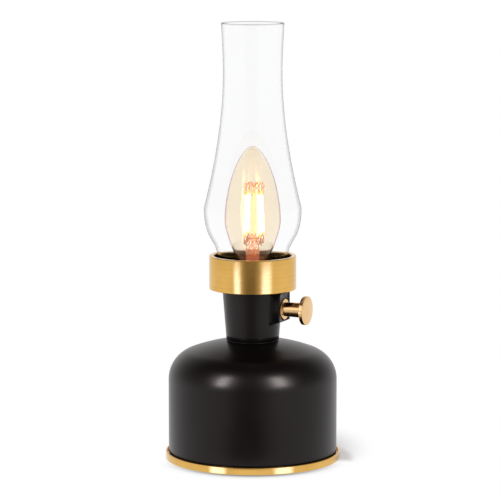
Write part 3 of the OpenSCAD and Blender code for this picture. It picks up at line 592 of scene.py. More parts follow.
def grid_growth() -> Growth:
    """A tree that sets copies of one shape on the points of a grid."""
    growth = Growth("Copies on a grid", {
        "Shape": "NodeSocketObject", "Length": "NodeSocketFloat", "Width": "NodeSocketFloat",
        "Along": "NodeSocketInt", "Across": "NodeSocketInt", "Centre": "NodeSocketVector",
        "Flipped": "NodeSocketFloat", "Material": "NodeSocketMaterial"})
    given = growth.given.outputs
    grid = growth.add("GeometryNodeMeshGrid", {
        "Size X": given["Length"], "Size Y": given["Width"], "Vertices X": given["Along"],
        "Vertices Y": given["Across"]})
    shape = growth.add("GeometryNodeObjectInfo", {"Object": given["Shape"]})
    half = growth.add("ShaderNodeMath", {0: given["Flipped"], 1: math.pi}, operation="MULTIPLY")
    over = growth.add("ShaderNodeCombineXYZ", {"X": half.outputs[0]})
    copies = growth.add("GeometryNodeInstanceOnPoints", {
        "Points": grid.outputs[0], "Instance": shape.outputs["Geometry"], "Rotation": over.outputs[0]})
    moved = growth.add("GeometryNodeTranslateInstances", {
        "Instances": copies.outputs[0], "Translation": given["Centre"], "Local Space": False})
    growth.close(moved.outputs[0])
    return growth


def wire_growth() -> Growth:
    """A tree that makes a round wire along every path of the mesh that goes in."""
    growth = Growth("Wire along a path", {
        "Wire radius": "NodeSocketFloat", "Sides": "NodeSocketInt", "Material": "NodeSocketMaterial"})
    given = growth.given.outputs
    path = growth.add("GeometryNodeMeshToCurve", {"Mesh": given["Geometry"]})
    round_bar = growth.add("GeometryNodeCurvePrimitiveCircle", {
        "Resolution": given["Sides"], "Radius": given["Wire radius"]})
    tube = growth.add("GeometryNodeCurveToMesh", {
        "Curve": path.outputs[0], "Profile Curve": round_bar.outputs[0], "Fill Caps": True})
    growth.close(tube.outputs[0])
    return growth


def spring_growth() -> Growth:
    """A tree that winds a conical contact spring from wire."""
    growth = Growth("Contact spring", {
        "Turns": "NodeSocketFloat", "Wide radius": "NodeSocketFloat", "Narrow radius": "NodeSocketFloat",
        "Length": "NodeSocketFloat", "Wire radius": "NodeSocketFloat", "Centre": "NodeSocketVector",
        "Lean": "NodeSocketFloat", "Material": "NodeSocketMaterial"})
    given = growth.given.outputs
    spiral = growth.add("GeometryNodeCurveSpiral", {
        "Resolution": 28, "Rotations": given["Turns"], "Start Radius": given["Wide radius"],
        "End Radius": given["Narrow radius"], "Height": given["Length"]})
    round_bar = growth.add("GeometryNodeCurvePrimitiveCircle", {
        "Resolution": 10, "Radius": given["Wire radius"]})
    tube = growth.add("GeometryNodeCurveToMesh", {
        "Curve": spiral.outputs[0], "Profile Curve": round_bar.outputs[0], "Fill Caps": True})
    over = growth.add("ShaderNodeCombineXYZ", {"Y": given["Lean"]})
    laid = growth.add("GeometryNodeTransform", {
        "Geometry": tube.outputs[0], "Translation": given["Centre"], "Rotation": over.outputs[0]})
    growth.close(laid.outputs[0])
    return growth


def path_mesh(name: str, paths: Sequence[Sequence[Sequence[float]]]) -> bpy.types.Mesh:
    """A mesh of edges along some paths, in metres from paths in millimetres."""
    points: list[tuple[float, ...]] = []
    edges = []
    for path in paths:
        first = len(points)
        points += [tuple(v * MM for v in p) for p in path]
        edges += [(first + i, first + i + 1) for i in range(len(path) - 1)]
    mesh = bpy.data.meshes.new(name)
    mesh.from_pydata(points, edges, [])
    return mesh


# Finishes


class Graph:
    """A short way to add and join shader nodes in one tree."""

    def __init__(self, tree: bpy.types.NodeTree) -> None:
        """Empties the tree."""
        self.tree = tree
        tree.nodes.clear()

    def add(self, kind: str, inputs: dict | None = None, **settings) -> bpy.types.Node:
        """Adds a node with its settings and inputs, each a value or another node's socket."""
        node = self.tree.nodes.new(kind)
        for key, value in settings.items():
            setattr(node, key, value)
        for key, value in (inputs or {}).items():
            if isinstance(value, bpy.types.NodeSocket):
                self.tree.links.new(value, node.inputs[key])
            else:
                node.inputs[key].default_value = value
        return node

    def math(self, operation: str, a: object, b: object = 0.0) -> bpy.types.NodeSocket:
        """A Math node's result."""
        return self.add("ShaderNodeMath", {0: a, 1: b}, operation=operation).outputs[0]

    def blend(self, factor: object, a: object, b: object) -> bpy.types.NodeSocket:
        """A colour between two others."""
        return self.add("ShaderNodeMix", {0: factor, 6: a, 7: b}, data_type="RGBA").outputs[2]

    def ramp(self, value: object, stops: Sequence[tuple[float, tuple[float, float, float]]]) -> (
            bpy.types.NodeSocket):
        """A colour picked from a row of stops."""
        node = self.add("ShaderNodeValToRGB", {0: value})
        row = node.color_ramp.elements
        while len(row) < len(stops):
            row.new(1.0)
        for element, (position, colour) in zip(row, stops):
            element.position = position
            element.color = (*colour, 1)
        return node.outputs[0]


def shared(name: str, inputs: dict[str, tuple[str, float]], outputs: Sequence[str],
           draw: Callable[[Graph, dict, dict], None]) -> bpy.types.NodeTree:
    """A shader node group, made on first use.

    Args:
        name: Name of the group.
        inputs: Type and value of each input.
        outputs: Names of the number outputs.
        draw: Function that fills the group.

    Returns:
        The group.
    """
    if name in bpy.data.node_groups:
        return bpy.data.node_groups[name]
    tree = bpy.data.node_groups.new(name, "ShaderNodeTree")
    for label, (kind, value) in inputs.items():
        socket = tree.interface.new_socket(label, in_out="INPUT", socket_type=kind)
        if kind == "NodeSocketFloat":
            socket.default_value = value
    for label in outputs:
        tree.interface.new_socket(label, in_out="OUTPUT", socket_type="NodeSocketFloat")
    graph = Graph(tree)
    given = graph.add("NodeGroupInput")
    result = graph.add("NodeGroupOutput")
    found: dict[str, bpy.types.NodeSocket] = {}
    draw(graph, {o.name: o for o in given.outputs}, found)
    for label, socket in found.items():
        tree.links.new(socket, result.inputs[label])
    return tree


def lathe_lines() -> bpy.types.NodeTree:
    """Fine lines round the Z axis, as a turning tool leaves, and the faint bands between them."""
    def draw(graph: Graph, given: dict, found: dict) -> None:
        """Fills the group."""
        parts = graph.add("ShaderNodeSeparateXYZ", {0: given["Vector"]}).outputs
        flat = graph.add("ShaderNodeCombineXYZ", {0: parts[0], 1: parts[1]}).outputs[0]
        radius = graph.add("ShaderNodeVectorMath", {0: flat}, operation="LENGTH").outputs["Value"]
        across = graph.add("ShaderNodeCombineXYZ", {0: radius, 1: parts[2]}).outputs[0]
        fine = graph.add("ShaderNodeTexNoise", {"Vector": across, "Scale": given["Per metre"], "Detail": 4.0,
                                                "Roughness": 0.62}, noise_dimensions="2D")
        broad_scale = graph.math("MULTIPLY", given["Per metre"], 0.14)
        broad = graph.add("ShaderNodeTexNoise", {"Vector": across, "Scale": broad_scale, "Detail": 2.0},
                          noise_dimensions="2D")
        found["Height"] = fine.outputs[0]
        found["Band"] = broad.outputs[0]
    return shared("Turning lines", {"Vector": ("NodeSocketVector", 0), "Per metre": ("NodeSocketFloat", 9000)},
                  ("Height", "Band"), draw)


def soft_clouds() -> bpy.types.NodeTree:
    """A slow change between two values over a surface, from handling, polish or film thickness."""
    def draw(graph: Graph, given: dict, found: dict) -> None:
        """Fills the group."""
        noise = graph.add("ShaderNodeTexNoise", {"Vector": given["Vector"], "Scale": given["Per metre"],
                                                 "Detail": 3.0, "Roughness": 0.55})
        spread = graph.add("ShaderNodeMapRange", {"Value": noise.outputs[0], "From Min": 0.32, "From Max": 0.68,
                                                  "To Min": given["Low"], "To Max": given["High"]})
        found["Value"] = spread.outputs[0]
    return shared("Soft clouds", {"Vector": ("NodeSocketVector", 0), "Per metre": ("NodeSocketFloat", 60),
                                  "Low": ("NodeSocketFloat", 0), "High": ("NodeSocketFloat", 1)},
                  ("Value",), draw)


def fine_grain() -> bpy.types.NodeTree:
    """The small pits and swells of a moulded or sprayed surface."""
    def draw(graph: Graph, given: dict, found: dict) -> None:
        """Fills the group."""
        cells = graph.add("ShaderNodeTexVoronoi", {"Vector": given["Vector"], "Scale": given["Per metre"]},
                          feature="SMOOTH_F1")
        noise = graph.add("ShaderNodeTexNoise", {"Vector": given["Vector"], "Scale": given["Per metre"],
                                                 "Detail": 3.0})
        found["Height"] = graph.math("ADD", graph.math("MULTIPLY", cells.outputs[0], 0.6), noise.outputs[0])
    return shared("Fine grain", {"Vector": ("NodeSocketVector", 0), "Per metre": ("NodeSocketFloat", 2000)},
                  ("Height",), draw)


@dataclass(frozen=True)
class Finish:
    """What every finish has: a name, the record's slot and the material that it makes."""

    name: str
    slot: str

    def material(self) -> bpy.types.Material:
        """The finish as a material, made once."""
        if self.name in bpy.data.materials:
            return bpy.data.materials[self.name]
        made = bpy.data.materials.new(self.name)
        made.use_nodes = True
        graph = Graph(made.node_tree)
        surface = self.surface(graph)
        out = graph.add("ShaderNodeOutputMaterial")
        graph.tree.links.new(surface, out.inputs["Surface"])
        return made

    def surface(self, graph: Graph) -> bpy.types.NodeSocket:
        """The shader of this finish."""
        raise NotImplementedError

    def place(self, graph: Graph) -> bpy.types.NodeSocket:
        """The coordinates that the finish is laid out by."""
        return graph.add("ShaderNodeTexCoord").outputs["Object"]

    def group(self, graph: Graph, tree: bpy.types.NodeTree, inputs: dict) -> bpy.types.Node:
        """A shared effect in this material."""
        node = graph.tree.nodes.new("ShaderNodeGroup")
        node.node_tree = tree
        for key, value in inputs.items():
            if isinstance(value, bpy.types.NodeSocket):
                graph.tree.links.new(value, node.inputs[key])
            else:
                node.inputs[key].default_value = value
        return node


@dataclass(frozen=True)
class Metal(Finish):
    """Bare or plated metal with the lines of its turning, a slight change of tone and, where asked for, a painted
    glow.
    """

    colour: Point3 = (0.8, 0.8, 0.8)
    dull: Point3 = (0.7, 0.7, 0.7)
    roughness: float = 0.25
    spread: float = 0.06
    lines: float = 9000
    depth: float = 0.004
    turning: Turning = Turning.LAMP
    axis_z: float = 0
    patches: float = 70
    # glow: painted glow, emission in the metal's own colour for wires lit by the filaments.
    glow: float = 0.0

    def place(self, graph: Graph) -> bpy.types.NodeSocket:
        """Coordinates with the turning axis along Z."""
        base = graph.add("ShaderNodeTexCoord").outputs["Object"]
        if self.turning is Turning.LAMP:
            return base
        laid = graph.add("ShaderNodeMapping", {"Vector": base, "Rotation": (0, -math.pi / 2, 0),
                                               "Location": (self.axis_z * MM, 0, 0)})
        return laid.outputs[0]

    def surface(self, graph: Graph) -> bpy.types.NodeSocket:
        """Metal whose lines sit in its height and whose bands sit in its tone."""
        place = self.place(graph)
        lines = self.group(graph, lathe_lines(), {"Vector": place, "Per metre": self.lines})
        clouds = self.group(graph, soft_clouds(), {"Vector": place, "Per metre": self.patches, "Low": 0.0,
                                                   "High": 1.0})
        tone = graph.math("MULTIPLY", graph.math("ADD", clouds.outputs[0], lines.outputs["Band"]), 0.5)
        colour = graph.blend(tone, (*self.colour, 1), (*self.dull, 1))
        rough = graph.add("ShaderNodeMapRange", {
            "Value": tone, "To Min": self.roughness - self.spread / 2,
            "To Max": self.roughness + self.spread / 2}).outputs[0]
        bump = graph.add("ShaderNodeBump", {"Height": lines.outputs["Height"], "Strength": 0.35,
                                            "Distance": self.depth * MM})
        shader = graph.add("ShaderNodeBsdfPrincipled", {
            "Base Color": colour, "Metallic": 1.0, "Roughness": rough, "Normal": bump.outputs[0]})
        # Painted glow of the filaments' light, as emission in the metal's colour.
        if self.glow:
            graph.tree.links.new(colour, shader.inputs["Emission Color"])
            shader.inputs["Emission Strength"].default_value = self.glow
        return shader.outputs[0]


@dataclass(frozen=True)
class Coat(Finish):
    """Enamel, moulded plastic or rubber: a dark body under a surface with some grain."""

    colour: Point3 = (0.004, 0.004, 0.004)
    worn: Point3 = (0.006, 0.006, 0.006)
    roughness: float = 0.35
    spread: float = 0.05
    grain: float = 2500
    depth: float = 0.01
    strength: float = 0.3
    level: float = 0.5
    sheen: Point3 = (1, 1, 1)

    def surface(self, graph: Graph) -> bpy.types.NodeSocket:
        """A coat whose film thickness changes a little over the surface."""
        place = self.place(graph)
        clouds = self.group(graph, soft_clouds(), {"Vector": place, "Per metre": 45.0, "Low": 0.0, "High": 1.0})
        grain = self.group(graph, fine_grain(), {"Vector": place, "Per metre": self.grain})
        colour = graph.blend(clouds.outputs[0], (*self.colour, 1), (*self.worn, 1))
        rough = graph.add("ShaderNodeMapRange", {
            "Value": clouds.outputs[0], "To Min": self.roughness - self.spread / 2,
            "To Max": self.roughness + self.spread / 2}).outputs[0]
        bump = graph.add("ShaderNodeBump", {"Height": grain.outputs[0], "Strength": self.strength,
                                            "Distance": self.depth * MM})
        shader = graph.add("ShaderNodeBsdfPrincipled", {
            "Base Color": colour, "Roughness": rough, "Specular IOR Level": self.level,
            "Specular Tint": (*self.sheen, 1), "Normal": bump.outputs[0]})
        return shader.outputs[0]


@dataclass(frozen=True)
class Glass(Finish):
    """Blown glass, clear to light on its way to what stands inside it, with painted shade at its edges and in one
    band, and a painted glow.
    """

    colour: Point3 = (1, 1, 1)
    # edge: colour of the painted edge shade where the glass is seen edge on.
    edge: Point3 = (1, 1, 1)
    ior: float = 1.45
    roughness: float = 0.0
    wave: float = 0.002
    # Facing range over which the painted edge shade comes in.
    edge_shade_from: float = 0.68
    edge_shade_to: float = 0.8
    # glow and strength: a painted glow of the filaments' light, laid on the glass as emission.
    glow: Point3 = (1, 0.7, 0.3)
    strength: float = 0.0
    # A band of painted shade past one height, in the colour deep.
    shade_band_from: float = 0.0
    shade_band_to: float = 0.0
    deep: Point3 = (1, 1, 1)
    # rim: painted edge shade on the outer face only.
    rim: Point3 = (1, 1, 1)

    def surface(self, graph: Graph) -> bpy.types.NodeSocket:
        """Glass with the slow waves of blowing, with painted shade where it is seen edge on and past one height.
        """
        place = self.place(graph)
        clouds = self.group(graph, soft_clouds(), {"Vector": place, "Per metre": 38.0, "Low": 0.0, "High": 1.0})
        bump = graph.add("ShaderNodeBump", {"Height": clouds.outputs[0], "Strength": 0.2,
                                            "Distance": self.wave * MM})
        # Painted edge shade: the colour goes to the edge colour where the glass is seen edge on.
        facing = graph.add("ShaderNodeLayerWeight", {"Blend": 0.5}).outputs["Facing"]
        deep = graph.add("ShaderNodeMapRange", {"Value": facing, "From Min": self.edge_shade_from,
                                                "From Max": self.edge_shade_to},
                         interpolation_type="SMOOTHSTEP").outputs[0]
        tint_and_painted_shade = graph.blend(deep, (*self.colour, 1), (*self.edge, 1))
        # Painted shade band past one height.
        if self.shade_band_from:
            height = graph.add("ShaderNodeSeparateXYZ", {0: place}).outputs[2]
            painted_band_share = graph.add("ShaderNodeMapRange", {"Value": height, "From Min": self.shade_band_from * MM,
                                                    "From Max": self.shade_band_to * MM},
                             interpolation_type="SMOOTHSTEP").outputs[0]
            tint_and_painted_shade = graph.blend(painted_band_share, tint_and_painted_shade, (*self.deep, 1))
        # The emission here is a painted glow, not a lamp.
        values = {"Base Color": tint_and_painted_shade, "Roughness": self.roughness, "IOR": self.ior, "Metallic": 0.0,
                  "Transmission Weight": 1.0, "Emission Color": (*self.glow, 1),
                  "Emission Strength": self.strength, "Normal": bump.outputs[0]}
        # Painted edge shade again on the outer face, as a coat of IOR 1 that only tints in the rim colour.
        if min(self.rim) < 1:
            outward = graph.add("ShaderNodeVectorMath", {0: place, 1: (1, 1, 0)}, operation="MULTIPLY").outputs[0]
            met = graph.add("ShaderNodeNewGeometry").outputs
            outward = graph.add("ShaderNodeVectorMath", {0: outward, 1: met["Normal"]},
                                operation="DOT_PRODUCT").outputs["Value"]
            outward = graph.math("SUBTRACT", graph.math("GREATER_THAN", outward, 0.0), met["Backfacing"])
            values |= {"Coat Weight": graph.math("MULTIPLY", deep, graph.math("MAXIMUM", outward, 0.0)),
                       "Coat Tint": (*self.rim, 1), "Coat IOR": 1.0, "Coat Roughness": 0.0}
        shader = graph.add("ShaderNodeBsdfPrincipled", values)
        clear = graph.add("ShaderNodeBsdfTransparent", {"Color": (*self.colour, 1)})
        path = graph.add("ShaderNodeLightPath").outputs
        lit = graph.math("MAXIMUM", path["Is Shadow Ray"], path["Is Diffuse Ray"])
        mixed = graph.add("ShaderNodeMixShader", {0: lit, 1: shader.outputs[0], 2: clear.outputs[0]})
        return mixed.outputs[0]


@dataclass(frozen=True)
class Glow(Finish):
    """The lit chips of a filament, brighter along their middle than at the ends."""

    middle: Point3 = (1, 0.9, 0.6)
    ends: Point3 = (1, 0.55, 0.12)
    strength: float = 4
    low: float = 0
    high: float = 1

    def surface(self, graph: Graph) -> bpy.types.NodeSocket:
        """Light that runs from end colour to middle colour and back along the height."""
        height = graph.add("ShaderNodeSeparateXYZ", {0: self.place(graph)}).outputs[2]
        share = graph.add("ShaderNodeMapRange", {"Value": height, "From Min": self.low * MM,
                                                 "From Max": self.high * MM}).outputs[0]
        clouds = self.group(graph, soft_clouds(), {"Vector": self.place(graph), "Per metre": 900.0,
                                                   "Low": -0.02, "High": 0.02})
        share = graph.math("ADD", share, clouds.outputs[0])
        colour = graph.ramp(share, ((0.0, self.ends), (0.07, self.middle), (0.93, self.middle),
                                    (1.0, self.ends)))
        shader = graph.add("ShaderNodeBsdfPrincipled", {
            "Base Color": (0.9, 0.62, 0.16, 1), "Roughness": 0.5, "Emission Color": colour,
            "Emission Strength": self.strength})
        return shader.outputs[0]


@dataclass(frozen=True)
class Phosphor(Finish):
    """The clear yellow coat of a filament, which glows from the light inside it."""

    colour: Point3 = (1.0, 0.86, 0.45)
    glow: Point3 = (1.0, 0.79, 0.24)
    strength: float = 1.1

    def surface(self, graph: Graph) -> bpy.types.NodeSocket:
        """A coat with small swells that lets the core show through."""
        grain = self.group(graph, fine_grain(), {"Vector": self.place(graph), "Per metre": 1500.0})
        bump = graph.add("ShaderNodeBump", {"Height": grain.outputs[0], "Strength": 0.3,
                                            "Distance": 0.02 * MM})
        shader = graph.add("ShaderNodeBsdfPrincipled", {
            "Base Color": (*self.colour, 1), "Roughness": 0.3, "IOR": 1.12, "Transmission Weight": 1.0,
            "Emission Color": (*self.glow, 1), "Emission Strength": self.strength,
            "Normal": bump.outputs[0]})
        clear = graph.add("ShaderNodeBsdfTransparent", {"Color": (*self.colour, 1)})
        path = graph.add("ShaderNodeLightPath").outputs
        lit = graph.math("MAXIMUM", path["Is Shadow Ray"], path["Is Diffuse Ray"])
        mixed = graph.add("ShaderNodeMixShader", {0: lit, 1: shader.outputs[0], 2: clear.outputs[0]})
        return mixed.outputs[0]


@dataclass(frozen=True)
class TwoTone(Finish):
    """A smooth skin in two colours that meet at one place along X, such as wires or a cell's sleeve."""

    low_colour: Point3 = (0.02, 0.02, 0.02)
    high_colour: Point3 = (0.4, 0.02, 0.02)
    meet: float = 0
    roughness: float = 0.4
    metallic: float = 0

    def surface(self, graph: Graph) -> bpy.types.NodeSocket:
        """Two colours with a sharp join and slight clouds in the gloss."""
        place = self.place(graph)
        along = graph.add("ShaderNodeSeparateXYZ", {0: place}).outputs[0]
        side = graph.math("GREATER_THAN", along, self.meet * MM)
        colour = graph.blend(side, (*self.low_colour, 1), (*self.high_colour, 1))
        clouds = self.group(graph, soft_clouds(), {"Vector": place, "Per metre": 120.0,
                                                   "Low": self.roughness - 0.06, "High": self.roughness + 0.06})
        grain = self.group(graph, fine_grain(), {"Vector": place, "Per metre": 1800.0})
        bump = graph.add("ShaderNodeBump", {"Height": grain.outputs[0], "Strength": 0.15,
                                            "Distance": 0.01 * MM})
        shader = graph.add("ShaderNodeBsdfPrincipled", {
            "Base Color": colour, "Roughness": clouds.outputs[0], "Metallic": self.metallic,
            "Normal": bump.outputs[0]})
        return shader.outputs[0]


@dataclass(frozen=True)
class Laminate(Finish):
    """A printed circuit board: green mask over faintly raised tracks."""

    mask: Point3 = (0.012, 0.11, 0.05)
    track: Point3 = (0.03, 0.2, 0.09)

    def surface(self, graph: Graph) -> bpy.types.NodeSocket:
        """Tracks as narrow courses of a brick pattern under a glossy mask."""
        place = self.place(graph)
        tracks = graph.add("ShaderNodeTexBrick", {
            "Vector": place, "Scale": 160.0, "Mortar Size": 0.05, "Brick Width": 1.3, "Row Height": 0.35,
            "Color1": (0, 0, 0, 1), "Color2": (0, 0, 0, 1), "Mortar": (1, 1, 1, 1)})
        colour = graph.blend(tracks.outputs[0], (*self.mask, 1), (*self.track, 1))
        bump = graph.add("ShaderNodeBump", {"Height": tracks.outputs[0], "Strength": 0.4,
                                            "Distance": 0.03 * MM})
        clouds = self.group(graph, soft_clouds(), {"Vector": place, "Per metre": 90.0, "Low": 0.2, "High": 0.32})
        shader = graph.add("ShaderNodeBsdfPrincipled", {
            "Base Color": colour, "Roughness": clouds.outputs[0], "Normal": bump.outputs[0]})
        return shader.outputs[0]


KNOB_Z = 95.9576
SATIN_BRASS = Metal("Satin brass", "satin_brass", (0.785, 0.47, 0.127), (0.635, 0.37, 0.085), 0.14, 0.04, 5200,
                    0.06)
KNOB_BRASS = Metal("Polished brass", "polished_brass", (0.88, 0.58, 0.29), (0.79, 0.48, 0.21), 0.2, 0.06, 9000,
                   0.01, Turning.KNOB, KNOB_Z)
BARE_BRASS = Metal("Bare brass", "satin_brass", (0.83, 0.55, 0.2), (0.72, 0.45, 0.14), 0.32, 0.1, 6000, 0.01)
PLATED = Metal("Plated steel", "plated_steel", (0.62, 0.61, 0.58), (0.5, 0.49, 0.47), 0.3, 0.1, 7000, 0.006)
CAP_METAL = Metal("Cap metal", "plated_steel", (0.36, 0.22, 0.12), (0.26, 0.15, 0.08), 0.34, 0.08, 5000, 0.008)
SHAFT_STEEL = Metal("Shaft steel", "plated_steel", (0.6, 0.6, 0.6), (0.5, 0.5, 0.5), 0.25, 0.06, 9000, 0.004,
                    Turning.KNOB, KNOB_Z)
# The wires and clips carry a painted glow of the filaments' light beside them.
COPPER_PAINTED_GLOW = Metal("Copper wire", "copper_wire", (0.9, 0.36, 0.1), (0.42, 0.02, 0.03), 0.36, 0.1, 4000, 0.002,
               patches=420, glow=0.24)
TOP_COPPER_PAINTED_GLOW = Metal("Hot copper", "copper_wire", (1, 0.56, 0.1), (0.72, 0.06, 0.03), 0.36, 0.1, 4000, 0.002,
                   patches=760, glow=0.42)
GOLD_CLIP_PAINTED_GLOW = Metal("Gold clips", "copper_wire", (1, 0.74, 0.22), (1, 0.6, 0.12), 0.36, 0.1, 4000, 0.002,
                  glow=0.55)
ENAMEL = Coat("Black enamel", "black_enamel", (0.0022, 0.001, 0.0012), (0.003, 0.0015, 0.0018), 0.3, 0.03,
              1100, 0.006, 0.1, 0.27, (1, 0.9, 0.89))
PLASTIC = Coat("Black plastic", "black_plastic", (0.012, 0.012, 0.0125), (0.017, 0.017, 0.0175), 0.45, 0.08,
               2600, 0.03, 0.35)
RUBBER = Coat("Black rubber", "black_rubber", (0.01, 0.01, 0.01), (0.018, 0.018, 0.018), 0.78, 0.1, 1800, 0.04,
              0.5, 0.3)
CHIP = Coat("Component black", "component_black", (0.014, 0.014, 0.015), (0.022, 0.022, 0.022), 0.55, 0.08,
            4000, 0.02, 0.4)
# The glasses carry painted shade: darker edges seen edge on, a dark band at the top of the chimney's mouth bead,
# and a dark brown foot of the bulb below 130.2 mm. The bulb, stem and rod glass also carry a painted glow of the
# filaments' light.
CLEAR_GLASS = Glass("Clear glass", "clear_glass", (0.985, 0.987, 0.987), (0.97, 0.96, 0.955), wave=0.0005,
                    edge_shade_from=0.6, edge_shade_to=0.7, rim=(0.942, 0.939, 0.937),
                    shade_band_from=273.36, shade_band_to=273.96, deep=(0.56, 0.53, 0.51))
AMBER_GLASS = Glass("Amber glass", "amber_glass", (0.982, 0.92, 0.806), (0.9, 0.8, 0.78), wave=0.001,
                    edge_shade_from=0.64, edge_shade_to=0.76, rim=(0.955, 0.91, 0.9), glow=(1, 0.6, 0.24), strength=0.012,
                    shade_band_from=132.7, shade_band_to=130.2, deep=(0.72, 0.42, 0.36))
STEM_GLASS = Glass("Stem glass", "stem_glass", (0.99, 0.9, 0.84), (0.8, 0.4, 0.34), 1.12, 0.08, 0.02, 0.3, 0.9,
                   (1, 0.5, 0.32), 0.24)
LIT_GLASS = Glass("Lit glass", "stem_glass", (1, 0.97, 0.88), (1, 0.9, 0.62), 1.08, 0.1, 0.02, 0.3, 0.9,
                  (1, 0.66, 0.26), 0.12)
# A lighter copy of the black enamel for the neck: painted light in place of the strip light that does not reach
# the neck.
NECK_ENAMEL_PAINTED_LIGHTER = Coat("Neck enamel", "black_enamel", (0.0062, 0.005, 0.0053), (0.0075, 0.006, 0.0063), 0.3, 0.03,
                   1100, 0.006, 0.1, 0.27, (1, 0.9, 0.89))
PHOSPHOR = Phosphor("Filament phosphor", "filament_glow")


@dataclass
class Workshop:
    """What the builders share: the loaded frame, the growth trees and the list of finished pieces."""

    frame: dict

    def __post_init__(self) -> None:
        """Makes the growth trees."""
        self.on_ring = ring_growth()
        self.on_grid = grid_growth()
        self.wire = wire_growth()
        self.spring = spring_growth()

    def fit(self, piece: bpy.types.Object, finish: Finish, body: Body, *nodes: str) -> bpy.types.Object:
        """Gives a piece its finish, its body and the solids that it stands for.

        Args:
            piece: The piece.
            finish: Its finish.
            body: The body that it moves with.
            nodes: The solids that it replaces.

        Returns:
            The piece.
        """
        piece.data.materials.clear()
        piece.data.materials.append(finish.material())
        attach(piece, body.value)
        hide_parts(*nodes)
        LOG.info("%s: %s, %d faces, on the %s", piece.name, finish.name, len(piece.data.polygons), body.value)
        return piece

    def copies_on_ring(self, name: str, shape: bpy.types.Object, count: int, radius: float, height: float,
                       finish: Finish) -> bpy.types.Object:
        """Copies of a shape on a circle, as one piece; the shape itself is thrown away."""
        made = self.on_ring.run(name, {"Shape": shape, "Count": count, "Circle radius": radius * MM,
                                       "Height": height * MM, "Material": finish.material()})
        bpy.data.objects.remove(shape)
        return made

    def copies_on_grid(self, name: str, shape: bpy.types.Object, size: Point, counts: tuple[int, int],
                       centre: Point3, flipped: bool, finish: Finish) -> bpy.types.Object:
        """Copies of a shape on a grid, as one piece; the shape itself is thrown away."""
        made = self.on_grid.run(name, {
            "Shape": shape, "Length": size[0] * MM, "Width": size[1] * MM, "Along": counts[0],
            "Across": counts[1], "Centre": Vector(centre) * MM, "Flipped": 1.0 if flipped else 0.0,
            "Material": finish.material()})
        bpy.data.objects.remove(shape)
        return made

    def wires(self, name: str, paths: Sequence[Sequence[Sequence[float]]], radius: float, sides: int,
              finish: Finish) -> bpy.types.Object:
        """Round wires along some paths, as one piece."""
        return self.wire.run(name, {"Wire radius": radius * MM, "Sides": sides,
                                    "Material": finish.material()}, path_mesh(name + "_path", paths), 60)


@dataclass
class Stand:
    """The brass foot ring, the rubber foot, the base moulding and what holds them together."""

    shop: Workshop
    ring_r: float = 55
    lip_t: float = 1.2
    lip_top: float = 4.85
    ring_gap: float = 0.2
    web_in_r: float = 50.5
    web_z: float = 1.6
    web_top: float = 2.6
    plate_z: float = 0.6
    foot_in_r: float = 46.8
    foot_out_r: float = 49.8
    screw_circle: float = 43.6
    screws: int = 4
    flange_top: float = 3.8

    def build(self) -> None:
        """Builds the stand."""
        self.brass_ring()
        self.rubber()
        self.moulding()
        self.fasteners()

    def brass_ring(self) -> None:
        """The ring with its rolled lip and the web that is clamped under the body."""
        inner = self.ring_r - self.lip_t
        half = self.lip_t / 2
        outline = softened([(inner, self.ring_gap), (self.ring_r, self.ring_gap)]
                           + arc(self.ring_r - half, self.lip_top - half, half, 0, 180, 16)
                           + [(inner, self.web_top), (self.web_in_r, self.web_top),
                              (self.web_in_r, self.web_z), (inner, self.web_z)], 0.22)
        self.shop.fit(turned("foot_ring_brass", outline, 256), SATIN_BRASS, Body.BASE, "base_ring")

    def rubber(self) -> None:
        """The foot: a soft ring with two grooves that grip the table."""
        middle = (self.foot_in_r + self.foot_out_r) / 2
        top = self.plate_z + 0.8
        outline = softened([(self.foot_in_r, 0.1), (self.foot_in_r + 0.3, 0), (middle - 0.75, 0),
                            (middle - 0.6, 0.3), (middle - 0.35, 0.3), (middle - 0.2, 0), (middle + 0.2, 0),
                            (middle + 0.35, 0.3), (middle + 0.6, 0.3), (middle + 0.75, 0),
                            (self.foot_out_r - 0.3, 0), (self.foot_out_r, 0.1), (self.foot_out_r, top),
                            (self.foot_in_r, top)], 0.12)
        self.shop.fit(turned("foot_rubber", outline, 192), RUBBER, Body.BASE, "rubber_foot")

    def moulding(self) -> None:
        """The plate with the battery box, the bearings and the posts in one piece."""
        plate = merged_copy(self.shop.frame, "base_plate", "base_moulding")
        self.shop.fit(plate, PLASTIC, Body.BASE, "base_plate")

    def fasteners(self) -> None:
        """The screws through the plate and the clinch nuts in the body's flange."""
        screw = CrossScrew(1.5, 2.7, 1.1, self.flange_top - self.plate_z + 2.6).shape("base_screw")
        screws = self.shop.copies_on_ring("base_screw_set", screw, self.screws, self.screw_circle,
                                          self.plate_z + 0.1, PLATED)
        self.shop.fit(screws, PLATED, Body.BASE, "base_screws_set")
        nut = hex_nut("clinch_nut", 3.1, 1.52, 2.2, 0, 0.5)
        nuts = self.shop.copies_on_ring("clinch_nut_set", nut, self.screws, self.screw_circle,
                                        self.flange_top, PLATED)
        self.shop.fit(nuts, PLATED, Body.BASE, "clinch_nuts")


